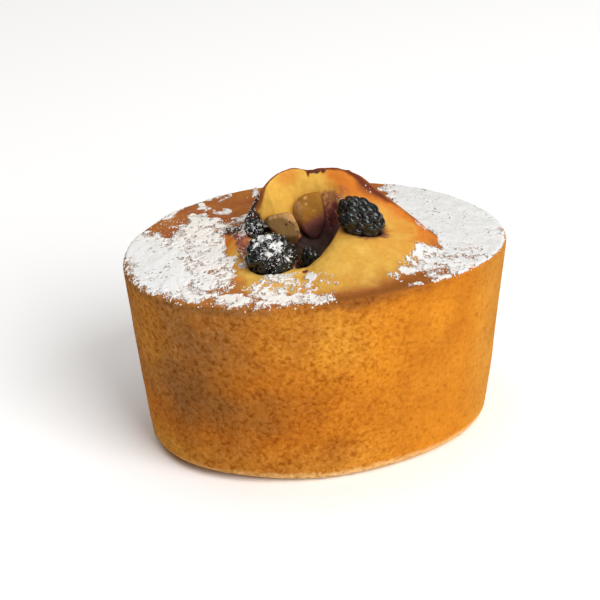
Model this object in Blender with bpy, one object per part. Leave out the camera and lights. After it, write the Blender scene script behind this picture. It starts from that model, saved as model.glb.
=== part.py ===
# Oval friand: a small almond cake baked in a deep oval tin. Its top has burst
# into a dome with an open crater, and dark berries and soft fruit lie in it.
# Metres in the scene, millimetres in the driving dimensions, +Z up.
# The long axis is X, the open side of the crater faces -Y.

from math import acos, atan2, copysign, cos, degrees, hypot, pi, radians, sin, sqrt
import random

import bmesh
import bpy
from mathutils import Euler, Vector

MM = 0.001

# ---- driving dimensions, mm -------------------------------------------------
TOP_LENGTH = 88.0        # tin mouth, along X
TOP_WIDTH = 62.4         # tin mouth, along Y
BASE_LENGTH = 79.8       # before the bottom edge is rounded
BASE_WIDTH = 53.2
OVAL_POWER = 2.05        # 2 is a true ellipse, more is squarer
EGG = 0.06               # the +X end is this much narrower than the -X end
RIM_HEIGHT = 45.8        # at the two ends
RIM_ARCH = 2.0           # the rim stands this much higher halfway along
CRUST_RISE = 0.8         # flat crust, middle above rim
RIM_ROUND = 0.9
FOOT_ROUND = 2.4
WALL_BULGE = 0.15        # the wall is this much fuller halfway up

CRATER_X = -2.0
CRATER_Y = -5.0
CRATER_FLOOR = 46.6      # height of the middle of the crater
DOME_FULLNESS = 0.64     # how much of its height the dome keeps halfway down
FOOT_STEP = 0.15         # the dome's foot stands this much above the flat crust
FOOT_MARGIN = 1.2        # least flat crust left between dome and rim

SEGMENTS = 96
SPAN_STEPS = (2, 2, 2, 3, 3, 3, 3, 2, 2)  # rings in each span of the top, centre to rim
WALL_STEPS = 4
ROUND_STEPS = 3
FLAT_STEPS = 2

SOCKET_GAP = 0.40        # room round each piece of fruit

# Sections of the dome, seen from the middle of the crater. Each has its bearing
# in degrees from +X, then radius and height of three points: the foot of the
# crater's inner wall, its lip, and the crest outside it, then the radius at
# which the dome meets the flat crust.
DOME_SECTIONS = (
    # bearing, wall foot,     lip,          crest,        dome foot
    (-158.0, (11.0, 47.0), (13.5, 48.2), (15.0, 48.5), 18.0),
    (-112.0, (7.0, 46.8), (10.0, 48.2), (11.6, 48.6), 20.5),
    (-92.0, (5.0, 46.8), (7.9, 49.6), (10.5, 50.6), 22.5),
    (-65.0, (3.5, 47.0), (6.2, 51.0), (9.8, 52.2), 23.8),
    (-36.0, (3.5, 47.4), (6.0, 52.4), (12.0, 52.8), 25.5),
    (-14.0, (3.8, 47.6), (6.4, 52.8), (21.0, 51.2), 29.0),
    (-5.0, (3.9, 47.7), (6.6, 53.0), (22.8, 51.6), 28.8),
    (3.0, (4.0, 47.8), (6.8, 53.0), (20.8, 53.3), 28.0),
    (14.0, (4.5, 48.0), (7.4, 53.2), (18.8, 55.5), 26.5),
    (26.0, (5.5, 48.2), (8.6, 54.5), (16.6, 57.9), 25.5),
    (37.0, (6.5, 48.5), (10.0, 56.8), (15.0, 60.7), 25.5),
    (50.0, (7.0, 48.8), (11.0, 59.5), (13.6, 61.8), 25.0),
    (68.0, (7.0, 49.2), (10.6, 60.5), (12.2, 62.0), 24.5),
    (81.0, (6.8, 49.2), (10.4, 60.3), (11.7, 61.75), 24.0),
    (94.0, (7.0, 49.2), (11.0, 60.8), (12.3, 62.3), 23.5),
    (112.0, (7.4, 49.2), (11.6, 60.2), (12.7, 61.7), 22.0),
    (129.0, (8.4, 49.0), (11.9, 58.2), (12.9, 59.9), 19.5),
    (136.0, (10.4, 48.6), (12.2, 54.0), (13.2, 55.6), 20.0),
    (143.0, (11.2, 48.0), (13.0, 50.4), (14.4, 51.4), 20.0),
    (165.0, (12.5, 47.2), (15.0, 48.6), (16.2, 49.1), 19.5),
)

# Berries: centre and radii in mm, tilt in degrees, number of drupelets.
BERRIES = {
    "berry_left": ((-12.6, -11.2, 50.5), (5.9, 5.4, 5.1), (10.0, 12.0, 10.0), 72),
    "berry_right": ((8.5, -7.9, 55.5), (6.1, 4.8, 4.3), (0.0, 36.0, -12.0), 72),
    "berry_back": ((-12.7, 3.4, 49.4), (3.0, 3.3, 3.4), (0.0, -20.0, 35.0), 30),
    "berry_deep": ((-3.9, -10.4, 48.2), (2.3, 2.6, 3.5), (10.0, 0.0, 0.0), 16),
}
DRUPELET_SIZE = 0.36     # radius of a drupelet, as a share of the berry's
BERRY_DETAIL = {"berry_left": 4, "berry_right": 4, "berry_back": 4, "berry_deep": 3}

# Fruit chunks: centre in mm, then the cut faces round it. Each face has the
# bearing from +X and the slope of its outward direction, in degrees, and its
# distance from the centre in mm.
CHUNKS = {
    "fruit_chunk_large": ((-0.4, 3.0, 52.0), (
        (-10.0, 10.0, 3.3), (84.0, 57.0, 5.3), (141.0, 41.0, 4.9), (-166.0, 3.0, 3.9), (-174.0, -33.0, 3.6),
        (-83.0, -67.0, 5.2), (-20.0, -22.0, 3.7), (-108.0, 36.0, 4.6), (-93.0, 4.0, 4.3), (79.0, -20.0, 3.6),
    )),
    "fruit_chunk_small": ((-7.4, -2.3, 52.4), (
        (97.0, 63.0, 3.5), (7.0, 17.0, 2.6), (-12.0, -15.0, 3.2), (-165.0, -44.0, 2.2), (179.0, 16.0, 4.6),
        (-106.0, 42.0, 2.7), (-105.0, -30.0, 3.4), (79.0, -28.0, 2.2), (-76.0, -65.0, 4.1),
    )),
}
CHUNK_SHARPNESS = 9.0    # more gives sharper edges between the faces
CHUNK_RELIEF = 0.02

COLOURS = {
    "cake": ((0.62, 0.29, 0.07), 0.8),
    "berry": ((0.012, 0.014, 0.016), 0.3),
    "fruit": ((0.42, 0.24, 0.05), 0.35),
}


# ---- helpers ----------------------------------------------------------------
def clear_scene():
    for obj in list(bpy.data.objects):
        bpy.data.objects.remove(obj, do_unlink=True)


def new_collection(name):
    collection = bpy.data.collections.new(name)
    bpy.context.scene.collection.children.link(collection)
    return collection


def make_material(name, colour, roughness):
    material = bpy.data.materials.new(name)
    material.use_nodes = True
    shader = material.node_tree.nodes["Principled BSDF"]
    shader.inputs["Base Color"].default_value = (*colour, 1.0)
    shader.inputs["Roughness"].default_value = roughness
    shader.inputs["Metallic"].default_value = 0.0
    return material


def mesh_object(name, bm, material, collection):
    mesh = bpy.data.meshes.new(name)
    bm.to_mesh(mesh)
    bm.free()
    mesh.shade_smooth()
    obj = bpy.data.objects.new(name, mesh)
    if material:
        mesh.materials.append(material)
    collection.objects.link(obj)
    return obj


def signed_power(value, power):
    return copysign(abs(value) ** power, value)


# ---- the oval tin shape -----------------------------------------------------
def oval_point(turn, half_length, half_width):
    x = half_length * signed_power(cos(turn), 2.0 / OVAL_POWER)
    y = half_width * signed_power(sin(turn), 2.0 / OVAL_POWER)
    return x, y * (1.0 - EGG * x / half_length)


def oval_share(x, y):
    # 0 at the middle of the top, 1 at the tin's edge
    half_length = TOP_LENGTH / 2
    half_width = TOP_WIDTH / 2 * (1.0 - EGG * x / half_length)
    total = abs(x / half_length) ** OVAL_POWER + abs(y / half_width) ** OVAL_POWER
    return total ** (1.0 / OVAL_POWER)


def rim_height(x):
    return RIM_HEIGHT + RIM_ARCH * (1.0 - (2.0 * x / TOP_LENGTH) ** 2)


def crust_height(x, y):
    share = min(oval_share(x, y), 1.0)
    return rim_height(x) + CRUST_RISE * (1.0 - share ** 2)


# ---- the burst dome ---------------------------------------------------------
def blend_sections(bearing, pick):
    # Smooth value between the sections, without overshoot (monotone cubic).
    count = len(DOME_SECTIONS)
    first = DOME_SECTIONS[0][0]
    bearing = (bearing - first) % 360.0 + first

    def section(i):
        turns, index = divmod(i, count)
        return DOME_SECTIONS[index][0] + 360.0 * turns, pick(DOME_SECTIONS[index])

    here = max(i for i in range(count) if DOME_SECTIONS[i][0] <= bearing)
    (x0, y0), (x1, y1), (x2, y2), (x3, y3) = (section(here + i) for i in (-1, 0, 1, 2))
    before = (y1 - y0) / (x1 - x0)
    slope = (y2 - y1) / (x2 - x1)
    after = (y3 - y2) / (x3 - x2)
    start = 2 * before * slope / (before + slope) if before * slope > 0 else 0.0
    end = 2 * after * slope / (after + slope) if after * slope > 0 else 0.0
    span = x2 - x1
    t = (bearing - x1) / span
    value = y1 * (1 + 2 * t) * (1 - t) ** 2 + y2 * t * t * (3 - 2 * t)
    return value + span * (start * t * (1 - t) ** 2 + end * t * t * (t - 1))


def smooth_curve(points, steps):
    # Centripetal Catmull-Rom curve through the points, steps[i] in span i.
    knots = [Vector(p) for p in points]
    knots = [2 * knots[0] - knots[1], *knots, 2 * knots[-1] - knots[-2]]
    curve = []
    for i, count in enumerate(steps):
        p = knots[i:i + 4]
        t = [0.0]
        for a, b in zip(p, p[1:]):
            t.append(t[-1] + sqrt((b - a).length))
        for k in range(count):
            s = t[1] + (t[2] - t[1]) * k / count
            a = [((t[j + 1] - s) * p[j] + (s - t[j]) * p[j + 1]) / (t[j + 1] - t[j]) for j in range(3)]
            b = [((t[j + 2] - s) * a[j] + (s - t[j]) * a[j + 1]) / (t[j + 2] - t[j]) for j in range(2)]
            curve.append(((t[2] - s) * b[0] + (s - t[1]) * b[1]) / (t[2] - t[1]))
    curve.append(knots[-2])
    return curve


def top_profile(turn):
    # From the middle of the crater over lip and crest down to the rim.
    edge_x, edge_y = oval_point(turn, TOP_LENGTH / 2 - RIM_ROUND, TOP_WIDTH / 2 - RIM_ROUND)
    reach = hypot(edge_x - CRATER_X, edge_y - CRATER_Y)
    along_x = (edge_x - CRATER_X) / reach
    along_y = (edge_y - CRATER_Y) / reach
    bearing = degrees(atan2(along_y, along_x))

    def pair(index):
        radius = blend_sections(bearing, lambda s: s[index][0])
        height = blend_sections(bearing, lambda s: s[index][1])
        return Vector((radius, height))

    wall_foot, lip, crest = pair(1), pair(2), pair(3)
    foot_radius = min(blend_sections(bearing, lambda s: s[4]), reach - FOOT_MARGIN)

    def crust(radius):
        height = crust_height(CRATER_X + along_x * radius, CRATER_Y + along_y * radius)
        return Vector((radius, height))

    foot = crust(foot_radius) + Vector((0.0, FOOT_STEP))
    flank = Vector(((crest.x + foot.x) / 2, foot.y + DOME_FULLNESS * (crest.y - foot.y)))
    middle = Vector((0.0, CRATER_FLOOR))
    points = (
        middle,
        middle.lerp(wall_foot, 0.5),
        wall_foot,
        wall_foot.lerp(lip, 0.5),
        lip,
        crest,
        flank,
        foot,
        crust((foot_radius + reach) / 2),
        crust(reach),
    )
    curve = smooth_curve(points, SPAN_STEPS)
    return [(CRATER_X + along_x * p.x, CRATER_Y + along_y * p.x, p.y) for p in curve]


def side_profile(turn):
    # From just under the rim down the wall, round the foot and in to the middle.
    def ring(share, inset, height):
        half_length = (BASE_LENGTH + (TOP_LENGTH - BASE_LENGTH) * share) / 2 - inset
        half_width = (BASE_WIDTH + (TOP_WIDTH - BASE_WIDTH) * share) / 2 - inset
        return (*oval_point(turn, half_length, half_width), height)

    top = rim_height(oval_point(turn, TOP_LENGTH / 2, TOP_WIDTH / 2)[0])
    rings = [ring(1.0, RIM_ROUND * 0.3, top - RIM_ROUND * 0.3)]
    for k in range(WALL_STEPS + 1):
        height = (top - RIM_ROUND) + (FOOT_ROUND - top + RIM_ROUND) * k / WALL_STEPS
        bulge = WALL_BULGE * sin(pi * k / WALL_STEPS)
        rings.append(ring(height / top, -bulge, height))
    for k in range(1, ROUND_STEPS + 1):
        angle = pi / 2 * k / ROUND_STEPS
        height = FOOT_ROUND * (1 - sin(angle))
        rings.append(ring(height / top, FOOT_ROUND * (1 - cos(angle)), height))
    outer = rings[-1]
    for k in range(1, FLAT_STEPS):
        rings.append((*(c * (1 - k / FLAT_STEPS) for c in outer[:2]), 0.0))
    rings.append((0.0, 0.0, 0.0))
    return rings


def make_cake(material, collection):
    # A sphere's rings are carried onto the profile: its upper pole becomes the
    # middle of the crater and its lower pole the middle of the base.
    ring_count = sum(SPAN_STEPS) + 1 + WALL_STEPS + 1 + ROUND_STEPS + FLAT_STEPS
    bm = bmesh.new()
    bmesh.ops.create_uvsphere(bm, u_segments=SEGMENTS, v_segments=ring_count, radius=1.0)
    profiles = {}
    for vert in bm.verts:
        ring = round(acos(max(-1.0, min(1.0, vert.co.z))) / pi * ring_count)
        segment = round(atan2(vert.co.y, vert.co.x) / (2 * pi) * SEGMENTS) % SEGMENTS
        if segment not in profiles:
            turn = 2 * pi * segment / SEGMENTS
            profiles[segment] = top_profile(turn) + side_profile(turn)
        vert.co = Vector(profiles[segment][ring]) * MM
    bmesh.ops.triangulate(bm, faces=bm.faces[:])
    bmesh.ops.recalc_face_normals(bm, faces=bm.faces[:])
    return mesh_object("cake", bm, material, collection)


# ---- fruit ------------------------------------------------------------------
def spread_directions(count, seed):
    # Even spiral over the sphere, each one nudged a little.
    draw = random.Random(seed)
    golden = pi * (3.0 - sqrt(5.0))
    nudge = 0.12
    for i in range(count):
        z = 1.0 - (2.0 * i + 1.0) / count
        around = golden * i + draw.uniform(-nudge, nudge)
        width = sqrt(1.0 - z * z)
        yield Vector((width * cos(around), width * sin(around), z))


def drupelet_reach(direction, centres, size):
    # How far the outside of the drupelets lies along a direction; the berry is 1.
    reach = 1.0 - size
    for centre in centres:
        along = direction.dot(centre)
        inside = along * along - centre.length_squared + size * size
        if inside > 0.0:
            reach = max(reach, along + sqrt(inside))
    return reach


def make_berry(name, seed, material, collection):
    centre, radii, tilt, count = BERRIES[name]
    size = DRUPELET_SIZE * sqrt(34.0 / count)
    centres = [d * (1.0 - size) for d in spread_directions(count, seed)]
    bm = bmesh.new()
    bmesh.ops.create_icosphere(bm, subdivisions=BERRY_DETAIL[name], radius=1.0)
    turn = Euler([radians(a) for a in tilt]).to_matrix()
    for vert in bm.verts:
        direction = vert.co.normalized()
        reach = drupelet_reach(direction, centres, size)
        place = Vector([c * r for c, r in zip(direction * reach, radii)])
        vert.co = turn @ place * MM
    berry = mesh_object(name, bm, material, collection)
    berry.location = Vector(centre) * MM
    return berry


def outward(bearing, slope):
    across = cos(radians(slope))
    return Vector((across * cos(radians(bearing)), across * sin(radians(bearing)), sin(radians(slope))))


def chunk_reach(direction, faces, gap=0.0):
    # Distance from the centre to the rounded block that the faces bound.
    total = 0.0
    for bearing, slope, distance in faces:
        share = direction.dot(outward(bearing, slope)) / (distance + gap)
        total += max(share, 0.0) ** CHUNK_SHARPNESS
    return total ** (-1.0 / CHUNK_SHARPNESS)


def make_chunk(name, material, collection):
    centre, faces = CHUNKS[name]
    bm = bmesh.new()
    bmesh.ops.create_icosphere(bm, subdivisions=3, radius=1.0)
    for vert in bm.verts:
        d = vert.co.normalized()
        relief = 1.0 - CHUNK_RELIEF * (1.0 + sin(3.1 * d.x + 2.0 * d.z) * cos(2.7 * d.y + 1.0))
        vert.co = d * chunk_reach(d, faces) * relief * MM
    chunk = mesh_object(name, bm, material, collection)
    chunk.location = Vector(centre) * MM
    return chunk


def berry_outline(direction, name):
    _, radii, tilt, _ = BERRIES[name]
    place = Vector([c * (r + SOCKET_GAP) for c, r in zip(direction, radii)])
    return Euler([radians(a) for a in tilt]).to_matrix() @ place


def cut_socket(cake, fruit, cutters):
    # The socket is the fruit's own smooth outer form, grown by the gap.
    bm = bmesh.new()
    bmesh.ops.create_icosphere(bm, subdivisions=3, radius=1.0)
    for vert in bm.verts:
        d = vert.co.normalized()
        if fruit.name in BERRIES:
            place = berry_outline(d, fruit.name)
        else:
            place = d * chunk_reach(d, CHUNKS[fruit.name][1], SOCKET_GAP)
        vert.co = place * MM
    cutter = mesh_object("socket_" + fruit.name, bm, None, cutters)
    cutter.location = fruit.location
    cutter.hide_render = True
    cutter.display_type = "WIRE"
    cut = cake.modifiers.new("socket_" + fruit.name, "BOOLEAN")
    cut.operation = "DIFFERENCE"
    cut.solver = "EXACT"
    cut.object = cutter


# ---- the whole cake ---------------------------------------------------------
def main():
    clear_scene()
    parts = new_collection("friand")
    cutters = new_collection("cutters")
    materials = {name: make_material(name, *look) for name, look in COLOURS.items()}

    cake = make_cake(materials["cake"], parts)
    fruit = []
    for seed, name in enumerate(BERRIES):
        fruit.append(make_berry(name, seed + 1, materials["berry"], parts))
    for name in CHUNKS:
        fruit.append(make_chunk(name, materials["fruit"], parts))
    for piece in fruit:
        cut_socket(cake, piece, cutters)


main()
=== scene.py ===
from math import cos, pi, radians, sin, sqrt

import bmesh
import bpy
import numpy as np
from mathutils import Euler, Matrix, Vector
from mathutils.bvhtree import BVHTree


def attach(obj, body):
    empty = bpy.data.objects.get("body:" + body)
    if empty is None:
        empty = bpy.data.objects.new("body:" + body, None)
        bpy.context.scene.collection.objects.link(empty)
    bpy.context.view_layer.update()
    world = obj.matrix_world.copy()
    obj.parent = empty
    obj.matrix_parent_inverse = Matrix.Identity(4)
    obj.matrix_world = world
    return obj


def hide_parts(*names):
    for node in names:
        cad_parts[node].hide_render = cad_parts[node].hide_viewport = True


# an oval almond friand, burst open on top, with dark berries and icing sugar
# lengths in the dictionaries are millimetres, +X is the long axis, -Y the front

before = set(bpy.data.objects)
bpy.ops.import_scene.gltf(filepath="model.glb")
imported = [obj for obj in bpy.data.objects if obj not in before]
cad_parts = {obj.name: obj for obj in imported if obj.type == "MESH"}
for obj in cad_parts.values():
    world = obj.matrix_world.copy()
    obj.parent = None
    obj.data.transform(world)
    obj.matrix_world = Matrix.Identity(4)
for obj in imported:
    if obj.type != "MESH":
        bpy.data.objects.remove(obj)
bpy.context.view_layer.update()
mm = 0.001

cameraValues = {
    "yaw": -11.25,            # degrees round the cake, 0 looks along +Y
    "elevation": 28.36,
    "roll": -1.91,
    "distance": 400.0,
    "target": (-3.047, 5.769, 29.380),
    "focalPixels": 1709.7,    # for a picture 600 pixels wide
    "pictureWidth": 600.0,
    "sensorWidth": 36.0,
    "clipStart": 0.01,        # metres
}

lightValues = {
    "keyPower": 21.0,         # watts
    "keySize": 1.0,           # metres
    "keyAzimuth": -60.0,      # degrees, 0 is +X and -90 the front
    "keyElevation": 38.0,
    "keyColour": (1.0, 1.0, 1.0),
    "topPower": 15.0,
    "topSize": 1.6,
    "topAzimuth": 0.0,
    "topElevation": 89.9,
    "topColour": (1.0, 0.988, 0.965),
    "distance": 1.4,
    "aim": (0.0, 0.0, 0.03),
    "skyFill": 0.08,
    "skyColour": (1.0, 0.98, 0.95),
}

# repeatable noise over a surface
hashPrimes = (374761393, 668265263, 1103515245, 974634777, 1274126177)
wordMask = 0xffffffff
drawMask = 0xffffff
layerSeedStep = 17


def smoothStep(low, high, value):
    t = np.clip((value - low) / (high - low), 0.0, 1.0)
    return t * t * (3.0 - 2.0 * t)


def latticeDraw(cell, seed):
    # one repeatable draw from 0 to 1 for each whole-number cell
    forX, forY, forZ, forSeed, mixer = hashPrimes
    h = cell[..., 0] * forX + cell[..., 1] * forY + cell[..., 2] * forZ + seed * forSeed
    h = (h ^ (h >> 13)) & wordMask
    h = (h * mixer) & wordMask
    h = h ^ (h >> 16)
    return (h & drawMask) / float(drawMask)


def valueNoise(points, cellSize, seed):
    # smooth noise from -1 to 1, one bump or dip for each cell
    spot = points / cellSize
    cell = np.floor(spot).astype(np.int64)
    part = spot - cell
    part = part * part * (3.0 - 2.0 * part)
    total = np.zeros(len(points))
    for corner in np.ndindex(2, 2, 2):
        offset = np.array(corner)
        weight = np.prod(np.where(offset == 1, part, 1.0 - part), axis=1)
        total += weight * latticeDraw(cell + offset, seed)
    return total * 2.0 - 1.0


def layeredNoise(points, cellSize, layers, seed):
    total = np.zeros(len(points))
    weights = 0.0
    for k in range(layers):
        strength = 0.5 ** k
        total += strength * valueNoise(points, cellSize * strength, seed + layerSeedStep * k)
        weights += strength
    return total / weights


def nearestSpot(points, cellSize, seed):
    # distance to the nearest scattered spot in cell sizes, and that spot's own draw
    spot = points / cellSize
    cell = np.floor(spot).astype(np.int64)
    best = np.full(len(points), np.inf)
    draw = np.zeros(len(points))
    for corner in np.ndindex(3, 3, 3):
        near = cell + np.array(corner) - 1
        jitter = np.stack([latticeDraw(near, seed + k) for k in range(3)], axis=1)
        gap = np.linalg.norm(near + jitter - spot, axis=1)
        closer = gap < best
        best = np.where(closer, gap, best)
        draw = np.where(closer, latticeDraw(near, seed + 5), draw)
    return best, draw


def flatPlaces(x, y):
    return np.stack([x, y, np.zeros(len(x))], axis=1)


# meshes, with places in millimetres as they stand in the frame
def meshPiece(name, verts, faces, material, body="root"):
    mesh = bpy.data.meshes.new(name)
    mesh.from_pydata((np.asarray(verts) * mm).tolist(), [], [list(map(int, f)) for f in faces])
    mesh.validate()
    mesh.update()
    mesh.shade_smooth()
    mesh.materials.append(material)
    piece = bpy.data.objects.new(name, mesh)
    bpy.context.scene.collection.objects.link(piece)
    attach(piece, body)
    return piece


def storeShare(piece, name, values):
    layer = piece.data.attributes.new(name, "FLOAT", "POINT")
    layer.data.foreach_set("value", np.asarray(values, dtype=np.float32))


def readVertices(piece, what):
    values = np.empty(len(piece.data.vertices) * 3, dtype=np.float32)
    piece.data.vertices.foreach_get(what, values)
    return values.reshape(-1, 3).astype(float)


def vertexPlaces(piece):
    return readVertices(piece, "co") / mm


def vertexNormals(piece):
    return readVertices(piece, "normal")


def movePlaces(piece, places):
    piece.data.vertices.foreach_set("co", (places * mm).astype(np.float32).ravel())
    piece.data.update()


def roundCage(subdivisions):
    # directions and triangles of an even round cage
    bm = bmesh.new()
    bmesh.ops.create_icosphere(bm, subdivisions=subdivisions, radius=1.0)
    directions = np.array([v.co[:] for v in bm.verts])
    triangles = np.array([[v.index for v in f.verts] for f in bm.faces])
    bm.free()
    return directions / np.linalg.norm(directions, axis=1)[:, None], triangles


def skinOver(name, places, normals, faces, lift, material, sink=0.1):
    # closed thin skin: a lifted copy of some faces, the same faces sunk, and a wall round the edge
    used = sorted({i for f in faces for i in f})
    index = {old: k for k, old in enumerate(used)}
    count = len(used)
    ids = np.array(used)
    upper = places[ids] + normals[ids] * np.maximum(lift[ids], 0.0)[:, None]
    lower = places[ids] - normals[ids] * sink
    shown = [[index[i] for i in f] for f in faces]
    edges = dict.fromkeys((a, b) for f in shown for a, b in zip(f, f[1:] + f[:1]))
    walls = [[b, a, a + count, b + count] for a, b in edges if (b, a) not in edges]
    hidden = [[i + count for i in reversed(f)] for f in shown]
    return meshPiece(name, np.concatenate([upper, lower]), shown + walls + hidden, material)


# shader nodes
def setSocket(tree, socket, value):
    # a link from another node, or a constant
    if isinstance(value, bpy.types.NodeSocket):
        tree.links.new(value, socket)
    else:
        socket.default_value = value


def addNode(tree, kind, settings=None, **inputs):
    # in0, in1 and so on are inputs by number, other keywords are inputs by name
    node = tree.nodes.new(kind)
    for key, value in (settings or {}).items():
        setattr(node, key, value)
    for key, value in inputs.items():
        byNumber = key.startswith("in") and key[2:].isdigit()
        setSocket(tree, node.inputs[int(key[2:]) if byNumber else key], value)
    return node


def mathNode(tree, operation, first, second=0.0):
    return addNode(tree, "ShaderNodeMath", {"operation": operation}, in0=first, in1=second).outputs[0]


def plus(tree, first, second):
    return mathNode(tree, "ADD", first, second)


def minus(tree, first, second):
    return mathNode(tree, "SUBTRACT", first, second)


def times(tree, first, second):
    return mathNode(tree, "MULTIPLY", first, second)


def remap(tree, value, low, high, newLow=0.0, newHigh=1.0):
    node = addNode(tree, "ShaderNodeMapRange", {"clamp": True}, in0=value, in1=low, in2=high, in3=newLow,
                   in4=newHigh)
    return node.outputs[0]


def noiseNode(tree, vector, scale, detail, roughness=0.5, distortion=0.0):
    return addNode(tree, "ShaderNodeTexNoise", Vector=vector, Scale=scale, Detail=detail, Roughness=roughness,
                   Distortion=distortion).outputs["Fac"]


def share(tree, name):
    return addNode(tree, "ShaderNodeAttribute", {"attribute_name": name}).outputs["Fac"]


def layerColours(tree, colour, *layers):
    # each layer: a mask or an attribute's name, a colour and a blend, laid over those before
    for mask, tint, *blend in layers:
        settings = {"data_type": "RGBA", "blend_type": blend[0] if blend else "MIX", "clamp_factor": True}
        node = addNode(tree, "ShaderNodeMix", settings)
        mask = share(tree, mask) if isinstance(mask, str) else mask
        for index, value in ((0, mask), (6, colour), (7, tint)):
            setSocket(tree, node.inputs[index], (*value, 1.0) if isinstance(value, tuple) else value)
        colour = node.outputs[2]
    return colour


def newGroup(name, numbers, outputs):
    # a vector and numbers go in, and only numbers come out
    group = bpy.data.node_groups.new(name, "ShaderNodeTree")
    group.interface.new_socket(name="Vector", in_out="INPUT", socket_type="NodeSocketVector")
    for label, value in numbers.items():
        socket = group.interface.new_socket(name=label, in_out="INPUT", socket_type="NodeSocketFloat")
        socket.default_value = value
    for label in outputs:
        group.interface.new_socket(name=label, in_out="OUTPUT", socket_type="NodeSocketFloat")
    return group, group.nodes.new("NodeGroupInput"), group.nodes.new("NodeGroupOutput")


def endGroup(group, end, outputs):
    for label, value in outputs.items():
        group.links.new(value, end.inputs[label])
    return group


def placeGroup(tree, group, vector, **values):
    node = tree.nodes.new("ShaderNodeGroup")
    node.node_tree = group
    tree.links.new(vector, node.inputs["Vector"])
    for key, value in values.items():
        setSocket(tree, node.inputs[key.replace("_", " ")], value)
    return node


def makeCrumbGroup():
    # baked crumb: blotchy grain with sunk pits and raised specks, short wormy dashes, slow mottling
    group, start, end = newGroup("crumbGrain", {"Scale": 900.0, "Dash Width": 0.05},
                                 ("Height", "ShadedPits", "Specks", "Dashes", "Mottle"))
    vector, scale = start.outputs["Vector"], start.outputs["Scale"]

    def noise(factor, detail, distortion=0.0):
        return noiseNode(group, vector, times(group, scale, factor), detail, 0.55, distortion)

    grain = noise(1.0, 1.3, 0.5)
    offLine = mathNode(group, "ABSOLUTE", minus(group, noise(0.75, 1.0, 1.2), 0.5))
    line = remap(group, offLine, 0.0, start.outputs["Dash Width"], 1.0, 0.0)
    dashes = times(group, line, remap(group, noise(0.35, 2.0), 0.46, 0.58))
    return endGroup(group, end, {
        "Height": minus(group, grain, times(group, dashes, 0.2)),
        "ShadedPits": remap(group, grain, 0.49, 0.29),
        "Specks": remap(group, grain, 0.52, 0.74),
        "Dashes": dashes,
        "Mottle": noise(0.12, 3.0),
    })


def makeDustGroup():
    # fine dry sugar caught on whatever looks up
    group, start, end = newGroup("sugarDust", {"Scale": 1600.0, "Amount": 0.5}, ("Mask", "Height"))
    vector, scale = start.outputs["Vector"], start.outputs["Scale"]
    fine = noiseNode(group, vector, scale, 4.0, 0.7)
    coarse = noiseNode(group, vector, times(group, scale, 0.22), 2.0, 0.6)
    normal = addNode(group, "ShaderNodeNewGeometry").outputs["Normal"]
    upward = addNode(group, "ShaderNodeSeparateXYZ", Vector=normal).outputs[2]
    total = plus(group, times(group, fine, 0.45), times(group, coarse, 0.55))
    total = plus(group, total, remap(group, upward, -0.1, 0.8, -0.25, 0.12))
    level = minus(group, 1.0, start.outputs["Amount"])
    mask = remap(group, minus(group, total, level), -0.02, 0.05)
    return endGroup(group, end, {"Mask": mask, "Height": times(group, mask, fine)})


crumbGroup = makeCrumbGroup()
dustGroup = makeDustGroup()


def startMaterial(name, **constants):
    material = bpy.data.materials.new(name)
    material.use_nodes = True
    tree = material.node_tree
    shader = tree.nodes["Principled BSDF"]
    for key, value in constants.items():
        shader.inputs[key.replace("_", " ")].default_value = value
    vector = tree.nodes.new("ShaderNodeTexCoord").outputs["Object"]
    return material, tree, shader, vector


def finishMaterial(tree, shader, colour, height, bumpDepth, bumpStrength):
    # bumpDepth is in metres
    bump = addNode(tree, "ShaderNodeBump", Height=height, Distance=bumpDepth, Strength=bumpStrength)
    tree.links.new(colour, shader.inputs["Base Color"])
    tree.links.new(bump.outputs["Normal"], shader.inputs["Normal"])


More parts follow.
